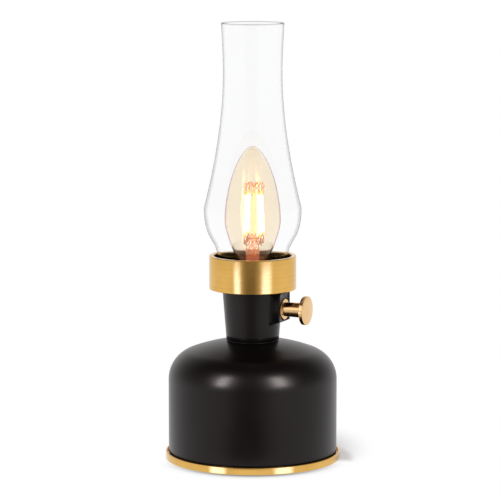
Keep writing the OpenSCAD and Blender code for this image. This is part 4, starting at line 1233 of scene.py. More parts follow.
@dataclass
class Dome:
    """The drawn black body: a straight wall, a round shoulder and a shallow crown."""

    shop: Workshop
    wall_r: float = 53
    bottom: float = 2.6
    wall_top: float = 50.4
    shoulder_r: float = 19.6
    rise: float = 25.6
    metal: float = 1.2
    seat_r: float = 16.9
    hole_r: float = 12
    flange_r: float = 41

    def build(self) -> None:
        """Builds the dome with its turned-in flange."""
        centre = self.wall_r - self.shoulder_r
        crown_r = (self.shoulder_r ** 2 - centre ** 2 - self.rise ** 2) / (2 * (self.shoulder_r - self.rise))
        crown_z = self.wall_top + self.rise - crown_r
        join = math.degrees(math.atan2(self.wall_top - crown_z, centre))
        seat = math.degrees(math.acos(self.seat_r / crown_r))
        seat_z = crown_z + math.sqrt(crown_r ** 2 - self.seat_r ** 2)
        corner = self.metal + 0.8
        outside = (arc(self.wall_r - corner, self.bottom + corner, corner, 270, 360, 8)
                   + arc(centre, self.wall_top, self.shoulder_r, 0, join, 40)
                   + arc(0, crown_z, crown_r, join, seat, 20)[1:])
        inside = (arc(self.wall_r - corner, self.bottom + corner, corner - self.metal, 270, 360, 8)
                  + arc(centre, self.wall_top, self.shoulder_r - self.metal, 0, join, 30)
                  + arc(0, crown_z, crown_r - self.metal, join, seat - 0.6, 14)[1:])
        under = seat_z - self.metal
        outline = ([(self.flange_r, self.bottom)] + outside
                   + [(self.hole_r, seat_z), (self.hole_r, under), (self.seat_r - 0.8, under)]
                   + inside[::-1] + [(self.flange_r, self.bottom + self.metal)])
        self.shop.fit(turned("body_dome", outline, 256), ENAMEL, Body.BASE, "body_shell")


@dataclass
class Neck:
    """The cast neck with its boss, and the washer and nut that hold it under the crown."""

    shop: Workshop
    washer_z: float = 72.56
    nut_z: float = 67.56
    nut_h: float = 5
    spigot_r: float = 11.8
    foot_r: float = 16.45
    seat_z: float = 74.76
    groove_h: float = 0.9

    def build(self) -> None:
        """Builds the casting and its fasteners."""
        casting = merged_copy(self.shop.frame, "neck", "neck_casting")
        self.shop.fit(casting, NECK_ENAMEL_PAINTED_LIGHTER, Body.BASE, "neck")
        foot = softened([(self.foot_r - 1, self.seat_z + 0.3), (self.foot_r - 0.05, self.seat_z + 0.3),
                         (self.foot_r, self.seat_z + self.groove_h + 0.1),
                         (self.foot_r - 1, self.seat_z + self.groove_h + 0.1)], 0.15)
        self.shop.fit(turned("neck_foot_bead", foot, 160), NECK_ENAMEL_PAINTED_LIGHTER, Body.BASE, "neck")
        washer = softened([(self.spigot_r + 0.2, self.washer_z), (self.spigot_r + 2.7, self.washer_z),
                           (self.spigot_r + 2.7, self.washer_z + 1), (self.spigot_r + 0.2, self.washer_z + 1)],
                          0.15)
        self.shop.fit(turned("spigot_washer", washer, 96), PLATED, Body.BASE, "neck_washer")
        nut = hex_nut("spigot_nut", self.spigot_r + 4.2, self.spigot_r + 0.02, self.nut_h, self.nut_z, 1.0)
        self.shop.fit(nut, PLATED, Body.BASE, "neck_nut")


@dataclass
class Gallery:
    """The brass gallery ring, the black pan inside it and the soft seat of the glass."""

    shop: Workshop
    outer_r: float = 27.35
    wall: float = 1.2
    rim_in_r: float = 24.45
    low: float = 107.76
    pan_top: float = 126.86
    high: float = 128.86
    edge: float = 0.45
    pan_low: float = 108.36
    pan_floor: float = 109.96
    holder_r: float = 10
    foot_r: float = 22
    glass_t: float = 1.3
    seat_top: float = 111.56

    def build(self) -> None:
        """Builds the gallery."""
        inner = self.outer_r - self.wall
        pan_r = inner - 0.1
        pan_in = self.rim_in_r + 0.15
        liner = self.rim_in_r - 0.04
        band = ([(inner, self.low), (self.outer_r - self.edge, self.low)]
                + arc(self.outer_r - self.edge, self.low + self.edge, self.edge, 290, 360, 6)
                + arc(self.outer_r - self.edge, self.high - self.edge, self.edge, 0, 90, 8)
                + arc(self.rim_in_r + self.edge, self.high - self.edge, self.edge, 90, 180, 8)
                + [(self.rim_in_r, self.pan_top), (inner, self.pan_top)])
        self.shop.fit(turned("gallery_band", band, 256), SATIN_BRASS, Body.BASE, "gallery_ring")
        pan = softened([(self.holder_r + 0.3, self.pan_low), (pan_r - 0.5, self.pan_low),
                        (pan_r, self.pan_low + 0.5), (pan_r, self.pan_top), (liner, self.pan_top),
                        (liner, self.high - 0.5), (liner - 0.35, self.high - 0.5),
                        (liner - 0.35, self.pan_top - 0.8), (pan_in, self.pan_top - 1.4),
                        (pan_in, self.pan_floor), (self.holder_r + 0.3, self.pan_floor)], 0.2)
        self.shop.fit(turned("gallery_pan", pan, 192), ENAMEL, Body.BASE, "gallery_cup")
        side = self.foot_r + 0.3
        hole = self.foot_r - self.glass_t - 0.5
        seat = softened([(hole, self.pan_floor), (pan_in - 0.1, self.pan_floor),
                         (pan_in - 0.1, self.seat_top + 3), (side + 0.6, self.seat_top + 3.4),
                         (side, self.seat_top + 2.8), (side, self.seat_top), (hole, self.seat_top)], 0.25)
        self.shop.fit(turned("glass_seat", seat, 160), RUBBER, Body.BASE, "glass_cushion")


@dataclass
class Holder:
    """The lamp holder: moulding, screw shell, centre contact and the two screws that hold it."""

    shop: Workshop
    floor_z: float = 96.96
    shell_r: float = 7.79
    thread_r: float = 6.94
    gap: float = 0.3
    pitch: float = 2.82
    depth: float = 0.75
    thread_z: float = 103.86
    thread_top: float = 116.36
    top: float = 117.46
    screw_top: float = 113.26

    def build(self) -> None:
        """Builds the holder."""
        moulding = merged_copy(self.shop.frame, "holder_body", "holder_moulding")
        self.shop.fit(moulding, PLASTIC, Body.BASE, "holder_body")
        start = self.thread_z - 1.4
        inside = screw_ridges(self.thread_r + self.gap, self.depth, self.pitch, self.thread_z, self.thread_top)
        shell = ([(self.shell_r, start), (self.shell_r, self.top - 0.2), (self.shell_r - 0.5, self.top - 0.2)]
                 + inside[::-1] + [(self.thread_r + self.gap, start)])
        self.shop.fit(turned("holder_thread", shell, 120), BARE_BRASS, Body.BASE, "holder_shell")
        tongue = eased_copy(self.shop.frame, "holder_contact", "holder_tongue", 0.08)
        self.shop.fit(tongue, PLATED, Body.BASE, "holder_contact")
        screw = CrossScrew(1.5, 2.7, 1.1, 11.8).shape("holder_screw")
        pair = self.shop.copies_on_grid("holder_screw_pair", screw, (0, 26.4), (1, 2), (0, 0, self.screw_top),
                                        True, PLATED)
        self.shop.fit(pair, PLATED, Body.BASE, "holder_screws")


@dataclass
class Dimmer:
    """The dimmer behind the boss and the brass knob on its shaft."""

    shop: Workshop
    axis_z: float = KNOB_Z
    case_end: float = 16.8
    bush_r: float = 3.4
    bush_end: float = 20.9
    shaft_r: float = 2
    shaft_from: float = 13.3
    shaft_to: float = 32.8
    recess_x: float = 18.8
    skirt_x: float = 21.3
    skirt_r: float = 6.6
    stem_r: float = 4.4
    stem_end_r: float = 4.7
    disc_x: float = 34.95
    disc_r: float = 9
    disc_edge: float = 2.25
    bevel_w: float = 1.9
    bevel_h: float = 0.4

    def build(self) -> None:
        """Builds the dimmer and its knob."""
        shop = self.shop
        axis = along_knob(0, self.axis_z)
        shop.fit(merged_copy(shop.frame, "dimmer_body", "dimmer_case"), PLASTIC, Body.BASE, "dimmer_body")
        ridges = screw_ridges(self.bush_r, 0.16, 0.55, self.case_end + 0.3, self.bush_end - 0.2)
        bush = ([(self.shaft_r + 0.05, self.case_end), (self.bush_r - 0.16, self.case_end)] + ridges
                + [(self.bush_r - 0.25, self.bush_end), (self.shaft_r + 0.05, self.bush_end)])
        shop.fit(turned("dimmer_bushing", bush, 72, axis), BARE_BRASS, Body.BASE, "dimmer_bush")
        washer = softened([(self.bush_r + 0.05, self.recess_x), (self.bush_r + 1.9, self.recess_x),
                           (self.bush_r + 1.9, self.recess_x + 0.4), (self.bush_r + 0.05, self.recess_x + 0.4)],
                          0.1)
        shop.fit(turned("dimmer_lock_washer", washer, 72, axis), SHAFT_STEEL, Body.BASE, "dimmer_washer")
        nut = hex_nut("dimmer_hex_nut", self.bush_r + 2.1, self.bush_r + 0.02, 1.5, self.recess_x + 0.4, 0.5,
                      axis)
        shop.fit(nut, SHAFT_STEEL, Body.BASE, "dimmer_nut")
        shaft = softened([(0, self.shaft_from), (self.shaft_r, self.shaft_from), (self.shaft_r, self.shaft_to),
                          (0, self.shaft_to)], 0.3)
        shop.fit(turned("knob_shaft", shaft, 64, axis), SHAFT_STEEL, Body.KNOB, "dimmer_shaft")
        self.knob(axis)

    def knob(self, axis: Matrix) -> None:
        """The stem with its covering flange, and the bevelled disc pressed on its end."""
        skirt_end = self.skirt_x + 1
        spigot = self.shaft_r + 0.8
        bore = self.shaft_r + 0.02
        stem = softened([(bore, self.skirt_x), (self.skirt_r, self.skirt_x), (self.skirt_r, skirt_end - 0.3),
                         (self.skirt_r - 0.3, skirt_end), (self.stem_r, skirt_end),
                         (self.stem_end_r, self.disc_x), (spigot, self.disc_x), (spigot, self.disc_x + 1.2),
                         (0, self.disc_x + 1.2), (0, self.shaft_to + 0.2), (bore, self.shaft_to + 0.2)], 0.22)
        self.shop.fit(turned("knob_turned_stem", stem, 128, axis), KNOB_BRASS, Body.KNOB, "knob_stem")
        face = self.disc_x + self.disc_edge
        disc = softened([(spigot + 0.02, self.disc_x), (self.disc_r, self.disc_x), (self.disc_r, face),
                         (self.disc_r - self.bevel_w, face + self.bevel_h), (0, face + self.bevel_h),
                         (0, self.disc_x + 1.22), (spigot + 0.02, self.disc_x + 1.22)], 0.16)
        self.shop.fit(turned("knob_face_disc", disc, 160, axis), KNOB_BRASS, Body.KNOB, "knob_disc")


@dataclass
class Chimney:
    """The blown glass: straight foot, belly, waist and flared mouth with a fire-polished bead."""

    shop: Workshop
    foot_r: float = 22
    low: float = 111.86
    throat: float = 126.46
    belly_r: float = 30.5
    belly: float = 158.36
    waist_r: float = 18.45
    waist: float = 243.06
    mouth_r: float = 19.55
    mouth: float = 274.26
    bead: float = 1.35
    glass: float = 1.3

    def build(self) -> None:
        """Builds the glass."""
        rise = self.belly - self.throat
        flare = self.mouth - self.waist
        outside = ([(self.foot_r, self.low + self.glass / 2)]
                   + bezier((self.foot_r, self.throat), (self.foot_r, self.throat + 0.4 * rise),
                            (self.belly_r, self.belly - 0.64 * rise), (self.belly_r, self.belly))
                   + bezier((self.belly_r, self.belly), (self.belly_r, self.belly + 2),
                            (self.waist_r, (self.waist + self.belly) / 2), (self.waist_r, self.waist))[1:]
                   + bezier((self.waist_r, self.waist), (self.waist_r, self.waist + 0.4 * flare),
                            (self.mouth_r - 0.4, self.mouth - 0.3 * flare),
                            (self.mouth_r, self.mouth - self.bead), 20)[1:])
        inside = inset(outside, self.glass)
        half = self.bead / 2
        outline = (arc(self.foot_r - self.glass / 2, self.low + self.glass / 2, self.glass / 2, 190, 350, 10)
                   + outside + arc(self.mouth_r - self.glass / 2 + 0.05, self.mouth - half, half, -20, 200, 16)
                   + inside[::-1])
        self.shop.fit(turned("chimney_glass", outline, 192), CLEAR_GLASS, Body.GLASS, "chimney")


@dataclass
class CandleBulb:
    """The candle bulb: screw cap, tinted glass, glass stem and four lit filaments on their wires."""

    shop: Workshop
    tip_z: float = 99.46
    radius: float = 17.5
    length: float = 98
    belly: float = 50.8
    glass: float = 0.8
    cap_h: float = 25.7
    thread_r: float = 6.94
    depth: float = 0.75
    pitch: float = 2.82
    collar_r: float = 8.5
    neck_r: float = 6.7
    stem_r: float = 4.2
    stem_h: float = 39.5
    count: int = 4
    filament_len: float = 25
    filament_r: float = 0.85
    core_r: float = 0.66
    rise: float = 3.7
    support_rise: float = 4.5
    lean: Point = (0.69, 0.31)
    low_r: float = 7
    high_r: float = 5.6
    turn: float = 56.5

    def __post_init__(self) -> None:
        """Works out the levels."""
        self.cap_top = self.tip_z + self.cap_h
        self.flare = self.cap_top - 7.2
        self.cap_z = self.tip_z + 2.8
        self.thread_z = self.cap_z + 1.6
        self.thread_top = self.flare - 1.6
        self.glass_z = self.cap_top - 5
        self.stem_top = self.tip_z + self.stem_h
        self.filament_z = self.stem_top + self.rise
        self.filament_top = self.filament_z + self.filament_len
        self.frame_top = self.filament_top + self.support_rise

    def build(self) -> None:
        """Builds the bulb."""
        self.cap()
        self.envelope()
        self.stem()
        self.support()
        self.filaments()

    def cap(self) -> None:
        """The threaded cap with its flared collar, the insulator and the tip contact."""
        core = self.thread_r - self.depth - 0.45
        ridges = screw_ridges(self.thread_r, self.depth, self.pitch, self.thread_z, self.thread_top)
        shell = ([(core - 1.2, self.cap_z), (self.thread_r - 2, self.cap_z)] + ridges
                 + [(self.thread_r - 0.1, self.flare), (self.collar_r - 0.3, self.flare + 2.6),
                    (self.collar_r, self.flare + 3.4), (self.collar_r, self.cap_top - 0.4),
                    (self.collar_r - 0.2, self.cap_top), (self.neck_r + 0.1, self.cap_top),
                    (self.neck_r + 0.1, self.flare + 2.2), (core, self.flare - 0.6), (core, self.cap_z + 1.2)])
        self.shop.fit(turned("cap_shell", shell, 128), CAP_METAL, Body.BULB, "bulb_cap")
        rim = self.thread_r - self.depth - 1.65
        insulator = softened([(0, self.tip_z + 1), (2.6, self.tip_z + 1), (rim, self.cap_z),
                              (rim, self.cap_z + 1.5), (0, self.cap_z + 1.5)], 0.2)
        self.shop.fit(turned("cap_insulator", insulator, 72), PLASTIC, Body.BULB, "bulb_insulator")
        tip = [(0, self.tip_z + 1), (0, self.tip_z), (1.2, self.tip_z), (2, self.tip_z + 0.35),
               (2.4, self.tip_z + 1)]
        self.shop.fit(turned("cap_tip", tip, 64), CAP_METAL, Body.BULB, "bulb_contact")

    def envelope(self) -> None:
        """The tinted glass, thin and open at the neck inside the cap."""
        belly_z = self.tip_z + self.belly
        top = self.tip_z + self.length
        outside = ([(self.neck_r, self.glass_z)]
                   + bezier((self.neck_r, self.cap_top + 0.1), (self.neck_r + 4.6, self.cap_top + 1.1),
                            (self.radius, belly_z - 5.8), (self.radius, belly_z))
                   + bezier((self.radius, belly_z), (self.radius, belly_z + 0.51 * (top - belly_z)),
                            (0.41 * self.radius, top), (0, top))[1:])
        inside = [p for p in inset(outside, self.glass) if p[0] > 0.3]
        outline = outside + [(0, top - self.glass)] + inside[::-1]
        self.shop.fit(turned("bulb_envelope", outline, 160), AMBER_GLASS, Body.BULB, "bulb_glass")

    def stem(self) -> None:
        """The glass stem that carries the wires."""
        flare = self.neck_r - self.glass - 0.1
        outline = softened([(0, self.glass_z), (flare, self.glass_z), (flare, self.glass_z + 0.8),
                            (self.stem_r + 0.6, self.glass_z + 3.4), (self.stem_r, self.glass_z + 6),
                            (self.stem_r, self.stem_top - 5), (self.stem_r - 1, self.stem_top - 1.2),
                            (self.stem_r - 2, self.stem_top), (0, self.stem_top)], 0.8, 5)
        self.shop.fit(turned("bulb_glass_stem", outline, 96), STEM_GLASS, Body.BULB, "bulb_stem")

    def spot(self, i: float, r: float, z: float) -> Point3:
        """A point in the direction of one filament."""
        a = math.radians(self.turn + 360 * i / self.count)
        return (self.lean[0] + r * math.cos(a), self.lean[1] + r * math.sin(a), z)

    def support(self) -> None:
        """The glass rod, the wires that run to the filaments and the clips at their ends."""
        aside = Matrix.Translation(Vector((*self.lean, 0)) * MM)
        core = turned("support_core", softened([(0, self.stem_top - 1), (0.4, self.stem_top - 1),
                                                (0.4, self.frame_top), (0, self.frame_top)], 0.15), 24, aside)
        over, main, fine, clips = [], [], [], []
        for i in range(self.count):
            low, high = self.spot(i, self.low_r, self.filament_z), self.spot(i, self.high_r, self.filament_top)
            over.append(bezier(self.spot(i, 0, self.frame_top - 0.8), self.spot(i, 2.4, self.frame_top + 4),
                               self.spot(i, self.high_r + 0.6, self.filament_top + 9), high, 14))
            main.append(bezier(self.spot(i, 0, self.stem_top + 0.6), self.spot(i, 3.0, self.stem_top + 0.4),
                               self.spot(i, self.low_r, self.filament_z - 2.4), low, 10))
            clips.append([self.spot(i, self.high_r, self.filament_top - 0.2),
                          self.spot(i, self.high_r - 0.2, self.filament_top + 1.9)])
            clips.append([self.spot(i, self.low_r, self.filament_z + 0.2),
                          self.spot(i, self.low_r + 0.1, self.filament_z - 1.9)])
            for side, turn in ((-1, 0.16), (1, 0.24)):
                near = i + side * turn
                fine.append(bezier(low, self.spot(i, self.low_r + 0.8, self.filament_z - 5),
                                   self.spot(near, 6.6, self.filament_z - 10),
                                   self.spot(near, 4.6, self.filament_z - 3 - side), 12))
        over += [self.crimped(k * 0.5, 6.1, 0.5, self.filament_top - 0.8, 0.95, 9) for k in range(8)]
        over += [self.crimped(k * 1.35, 3.0, 0.6, self.filament_top + 0.4, 0.95, 8) for k in range(3)]
        fine += [self.crimped(k * 0.8, 2.1, 1.1, self.stem_top + 3.5, -1.5, 11) for k in range(5)]
        self.bundle("support_clips", GOLD_CLIP_PAINTED_GLOW, core, self.shop.wires("clips", clips, 0.62, 12, GOLD_CLIP_PAINTED_GLOW))
        self.bundle("bulb_support_top", TOP_COPPER_PAINTED_GLOW, self.shop.wires("top_wires", over, 0.21, 8, TOP_COPPER_PAINTED_GLOW))
        self.bundle("bulb_support", COPPER_PAINTED_GLOW, self.shop.wires("support_wires", main, 0.3, 10, COPPER_PAINTED_GLOW),
                    self.shop.wires("fine_wires", fine, 0.23, 8, COPPER_PAINTED_GLOW))
        rod = softened([(0.45, self.stem_top - 0.6), (2, self.stem_top - 0.6), (1.9, self.frame_top - 2.5),
                        (1.1, self.frame_top - 1.2), (0.45, self.frame_top - 1.2)], 0.4)
        self.shop.fit(turned("support_glass", rod, 48, aside), LIT_GLASS, Body.BULB, "filament_frame")

    def bundle(self, name: str, finish: Finish, *parts: bpy.types.Object) -> None:
        """Joins these parts into one piece of the support."""
        bm = bmesh.new()
        for part in parts:
            bm.from_mesh(part.data)
            bpy.data.objects.remove(part)
        mesh = bpy.data.meshes.new(name)
        bm.to_mesh(mesh)
        bm.free()
        smooth(mesh, 50)
        self.shop.fit(new_object(name, mesh), finish, Body.BULB, "filament_frame")

    def crimped(self, turn: float, r: float, sway: float, start: float, step: float,
                count: int) -> list[Point3]:
        """A wire that was bent to and fro on its way along the stem."""
        return [self.spot(turn + 0.8 * sway / r * math.sin(2.3 * j + 5 * turn),
                          r + sway * math.sin(1.7 * j + 3 * turn), start + step * j) for j in range(count)]

    def filaments(self) -> None:
        """Each filament: a lit core in a phosphor coat with rounded ends."""
        glow = Glow("Filament glow", "filament_glow", (1, 0.94, 0.76), (1, 0.6, 0.12), 4.0,
                    self.filament_z, self.filament_top)
        for i in range(self.count):
            low = Vector(self.spot(i, self.low_r, self.filament_z))
            high = Vector(self.spot(i, self.high_r, self.filament_top))
            run = high - low
            place = Matrix.Translation(low * MM) @ run.to_track_quat("Z", "Y").to_matrix().to_4x4()
            coat = turned(f"filament_coat_{i + 1}", self.rod(self.filament_r, 0, run.length), 32, place)
            self.shop.fit(coat, PHOSPHOR, Body.BULB, f"filament_{i + 1}")
            core = turned(f"filament_core_{i + 1}", self.rod(self.core_r, 0.4, run.length - 0.4), 24, place)
            self.shop.fit(core, glow, Body.BULB, f"filament_{i + 1}")

    def rod(self, r: float, start: float, stop: float) -> list[Point]:
        """Outline of a rod with rounded ends."""
        end = 0.35
        return ([(0, start)] + arc(r - end, start + end, end, 270, 360, 4)
                + arc(r - end, stop - end, end, 0, 90, 4) + [(0, stop)])


@dataclass
class BatteryBox:
    """Three cells in a row, their springs and contact plates, and the door under them."""

    shop: Workshop
    length: float = 56.5
    pitch: float = 15.6
    cell_r: float = 7.1
    cell_len: float = 50.5
    cell_z: float = 10.5
    contact_t: float = 0.4
    nub_h: float = 1.2
    nub_r: float = 2.7
    spring_len: float = 5.2
    spring_r: float = 2.9
    spring_wire: float = 0.6
    turns: float = 3
    screw_x: float = 32.45

    def build(self) -> None:
        """Builds what the box holds and its door."""
        self.cells()
        self.springs()
        for node, name in (("negative_terminal", "terminal_minus"), ("positive_terminal", "terminal_plus"),
                           ("bridge_front", "bridge_plate_front"), ("bridge_rear", "bridge_plate_rear")):
            self.shop.fit(eased_copy(self.shop.frame, node, name, 0.08), PLATED, Body.BASE, node)
        self.door()

    def cells(self) -> None:
        """The cells: a sleeve in two tones, a bare steel end and a button."""
        for i in range(3):
            side = -1 if i == 1 else 1
            y = (i - 1) * self.pitch
            can = 0.6
            outline = softened([(0, 0), (self.nub_r, 0), (self.nub_r, self.nub_h),
                                (self.nub_r + 1.2, self.nub_h), (self.nub_r + 1.4, self.nub_h + 0.15),
                                (self.cell_r - can, self.nub_h + 0.05), (self.cell_r, self.nub_h + can),
                                (self.cell_r, self.cell_len - can), (self.cell_r - can, self.cell_len),
                                (self.cell_r - 1.4, self.cell_len - 0.1), (0, self.cell_len - 0.1)], 0.25)
            place = (Matrix.Translation(Vector((side * (self.length / 2 - self.contact_t), y, self.cell_z)) * MM)
                     @ Matrix.Rotation(-side * math.pi / 2, 4, "Y"))
            cell = turned(f"round_cell_{i + 1}", outline, 72, place)
            meet = side * (self.length / 2 - self.contact_t - 13)
            brown = (0.33, 0.13, 0.04)
            dark = (0.012, 0.012, 0.014)
            low, high = (dark, brown) if side > 0 else (brown, dark)
            sleeve = TwoTone(f"Cell sleeve {i + 1}", "cell_sleeve", low, high, meet, 0.3)
            self.shop.fit(cell, sleeve, Body.BASE, f"cell_{i + 1}")

    def springs(self) -> None:
        """One contact spring at the flat end of each cell."""
        for i in range(3):
            side = -1 if i == 1 else 1
            wire = self.spring_wire / 2
            x = -side * (self.length / 2 - self.contact_t - wire)
            spring = self.shop.spring.run(f"spring_{i + 1}", {
                "Turns": self.turns, "Wide radius": self.spring_r * MM, "Narrow radius": 0.72 * self.spring_r * MM,
                "Length": (self.spring_len - 2 * wire) * MM, "Wire radius": wire * MM,
                "Centre": Vector((x, (i - 1) * self.pitch, self.cell_z)) * MM, "Lean": side * math.pi / 2,
                "Material": PLATED.material()}, None, 60)
            self.shop.fit(spring, PLATED, Body.BASE, f"contact_spring_{i + 1}")

    def door(self) -> None:
        """The door with its rolled edge, the foam inside it and its captive screw."""
        door = merged_copy(self.shop.frame, "battery_door", "door_moulding")
        self.shop.fit(door, PLASTIC, Body.DOOR, "battery_door")
        half_l, half_w = self.length * 0.35, 17.25
        foam = block("door_foam", (-half_l, -half_w, 2.1), (half_l, half_w, 3.1), 0.4)
        self.shop.fit(foam, RUBBER, Body.DOOR, "door_pad")
        screw = CrossScrew(1.2, 2.3, 0.95, 4.6, True).shape("door_captive_screw")
        screw.data.transform(Matrix.Translation(Vector((self.screw_x, 0, 0.65)) * MM))
        self.shop.fit(screw, PLATED, Body.DOOR, "door_screw")


@dataclass
class Driver:
    """The dimming board on its posts, its components and the wires."""

    shop: Workshop
    board_z: float = 23.9
    board_t: float = 1.6
    post_x: float = 18.5
    post_y: float = 11.5
    wire_r: float = 0.7
    terminal_top: float = 21.1
    box_l: float = 56.5
    pitch: float = 15.6
    bore_r: float = 8.5
    spigot_bottom: float = 66.558
    holder_under: float = 93.958
    pin_z: float = 87.558

    def build(self) -> None:
        """Builds the board and the wires."""
        shop = self.shop
        top = self.board_z + self.board_t
        board = merged_copy(shop.frame, "driver_board", "driver_panel")
        shop.fit(board, Laminate("Board laminate", "board_green"), Body.BASE, "driver_board")
        self.parts(top)
        screw = CrossScrew(1, 1.9, 1.2, self.board_t + 3.4).shape("board_screw")
        screws = shop.copies_on_grid("board_screw_set", screw, (2 * self.post_x, 2 * self.post_y), (2, 2),
                                     (0, 0, top + 1.2), True, PLATED)
        shop.fit(screws, PLATED, Body.BASE, "board_screws")
        self.wires(top)

    def parts(self, top: float) -> None:
        """The chips, the coil, the capacitor, the connector and the row of small resistors."""
        made = [block("chip", (-4, -3, top), (2, 2, top + 1.6), 0.25),
                block("coil", (-13, -5, top), (-7, 1, top + 3), 0.5),
                block("connector", (8.5, 1, top), (12, 9, top + 5), 0.3)]
        can = softened([(0, 0), (2.9, 0), (3, 0.2), (3, 1), (2.8, 1.3), (3, 1.6), (3, 7), (2.2, 7), (2, 6.85),
                        (0, 6.85)], 0.15)
        made.append(turned("capacitor", can, 48, Matrix.Translation(Vector((7, -4, top)) * MM)))
        small = block("resistor", (0, 0, 0), (1.6, 0.8, 0.6), 0.1, 2)
        made.append(self.shop.copies_on_grid("resistors", small, (9, 0), (4, 1), (-9.5, 5, top), False, CHIP))
        bm = bmesh.new()
        for part in made:
            bm.from_mesh(part.data)
            bpy.data.objects.remove(part)
        mesh = bpy.data.meshes.new("driver_parts")
        bm.to_mesh(mesh)
        bm.free()
        smooth(mesh, 45)
        self.shop.fit(new_object("driver_parts", mesh), CHIP, Body.BASE, "board_parts")

    def arch(self, start: Point3, end: Point3, rise: float, fall: float) -> list[tuple[float, ...]]:
        """A path that leaves and arrives upright."""
        return bezier(start, (start[0], start[1], start[2] + rise), (end[0], end[1], end[2] - fall), end, 22)

    def wires(self, top: float) -> None:
        """The battery wires, and the wires up the neck to the holder and the dimmer."""
        x = self.box_l / 2 - 0.2
        battery = []
        for side in (-1, 1):
            start = (side * x, side * self.pitch, self.terminal_top)
            end = (side * (self.post_x - 3.5), side * (self.post_y - 4.5), top)
            battery.append([start] + self.arch((*start[:2], start[2] + 0.4), (*end[:2], end[2] + 0.4), 9, -9)
                           + [end])
        red = (0.42, 0.012, 0.01)
        black = (0.008, 0.008, 0.008)
        yellow = (0.75, 0.4, 0.03)
        sleeves = TwoTone("Battery wires", "wire_sleeve", black, red, 0, 0.42)
        piece = self.shop.wires("battery_wires", battery, self.wire_r, 12, sleeves)
        self.shop.fit(piece, sleeves, Body.BASE, "battery_leads")
        rise = (self.spigot_bottom - self.board_z) / 2
        lamp, dimmer = [], []
        for side in (-1, 1):
            middle = (side * 0.55 * self.bore_r, 0.42 * self.bore_r, self.spigot_bottom + 4)
            lamp.append(self.through((side * 6, 8, top), middle, (side * 4.5, 0, self.holder_under), rise, 8))
        for i in (-1, 0, 1):
            middle = (0.3 * self.bore_r, 2 * i - 2.5, self.spigot_bottom + 4)
            dimmer.append(self.through((1, 3 * i - 9, top), middle, (13.1, 2.5 * i, self.pin_z), rise,
                                       (self.pin_z - self.spigot_bottom) / 2))
        red_black = TwoTone("Lamp wires", "wire_sleeve", black, red, 0, 0.42)
        self.shop.fit(self.shop.wires("lamp_wires", lamp, self.wire_r, 12, red_black), red_black, Body.BASE,
                      "lamp_leads")
        plain = TwoTone("Dimmer wires", "wire_sleeve", yellow, yellow, 0, 0.42)
        self.shop.fit(self.shop.wires("dimmer_wires", dimmer, self.wire_r, 12, plain), plain, Body.BASE,
                      "dimmer_leads")

    def through(self, start: Point3, middle: Point3, end: Point3, rise: float,
                fall: float) -> list[tuple[float, ...]]:
        """A path that passes upright through a middle point."""
        first = self.arch((*start[:2], start[2] + 0.4), middle, rise, rise)
        second = self.arch((*middle[:2], middle[2] + 0.8), (*end[:2], end[2] - 0.4), fall, fall)
        return [start] + first + second + [end]


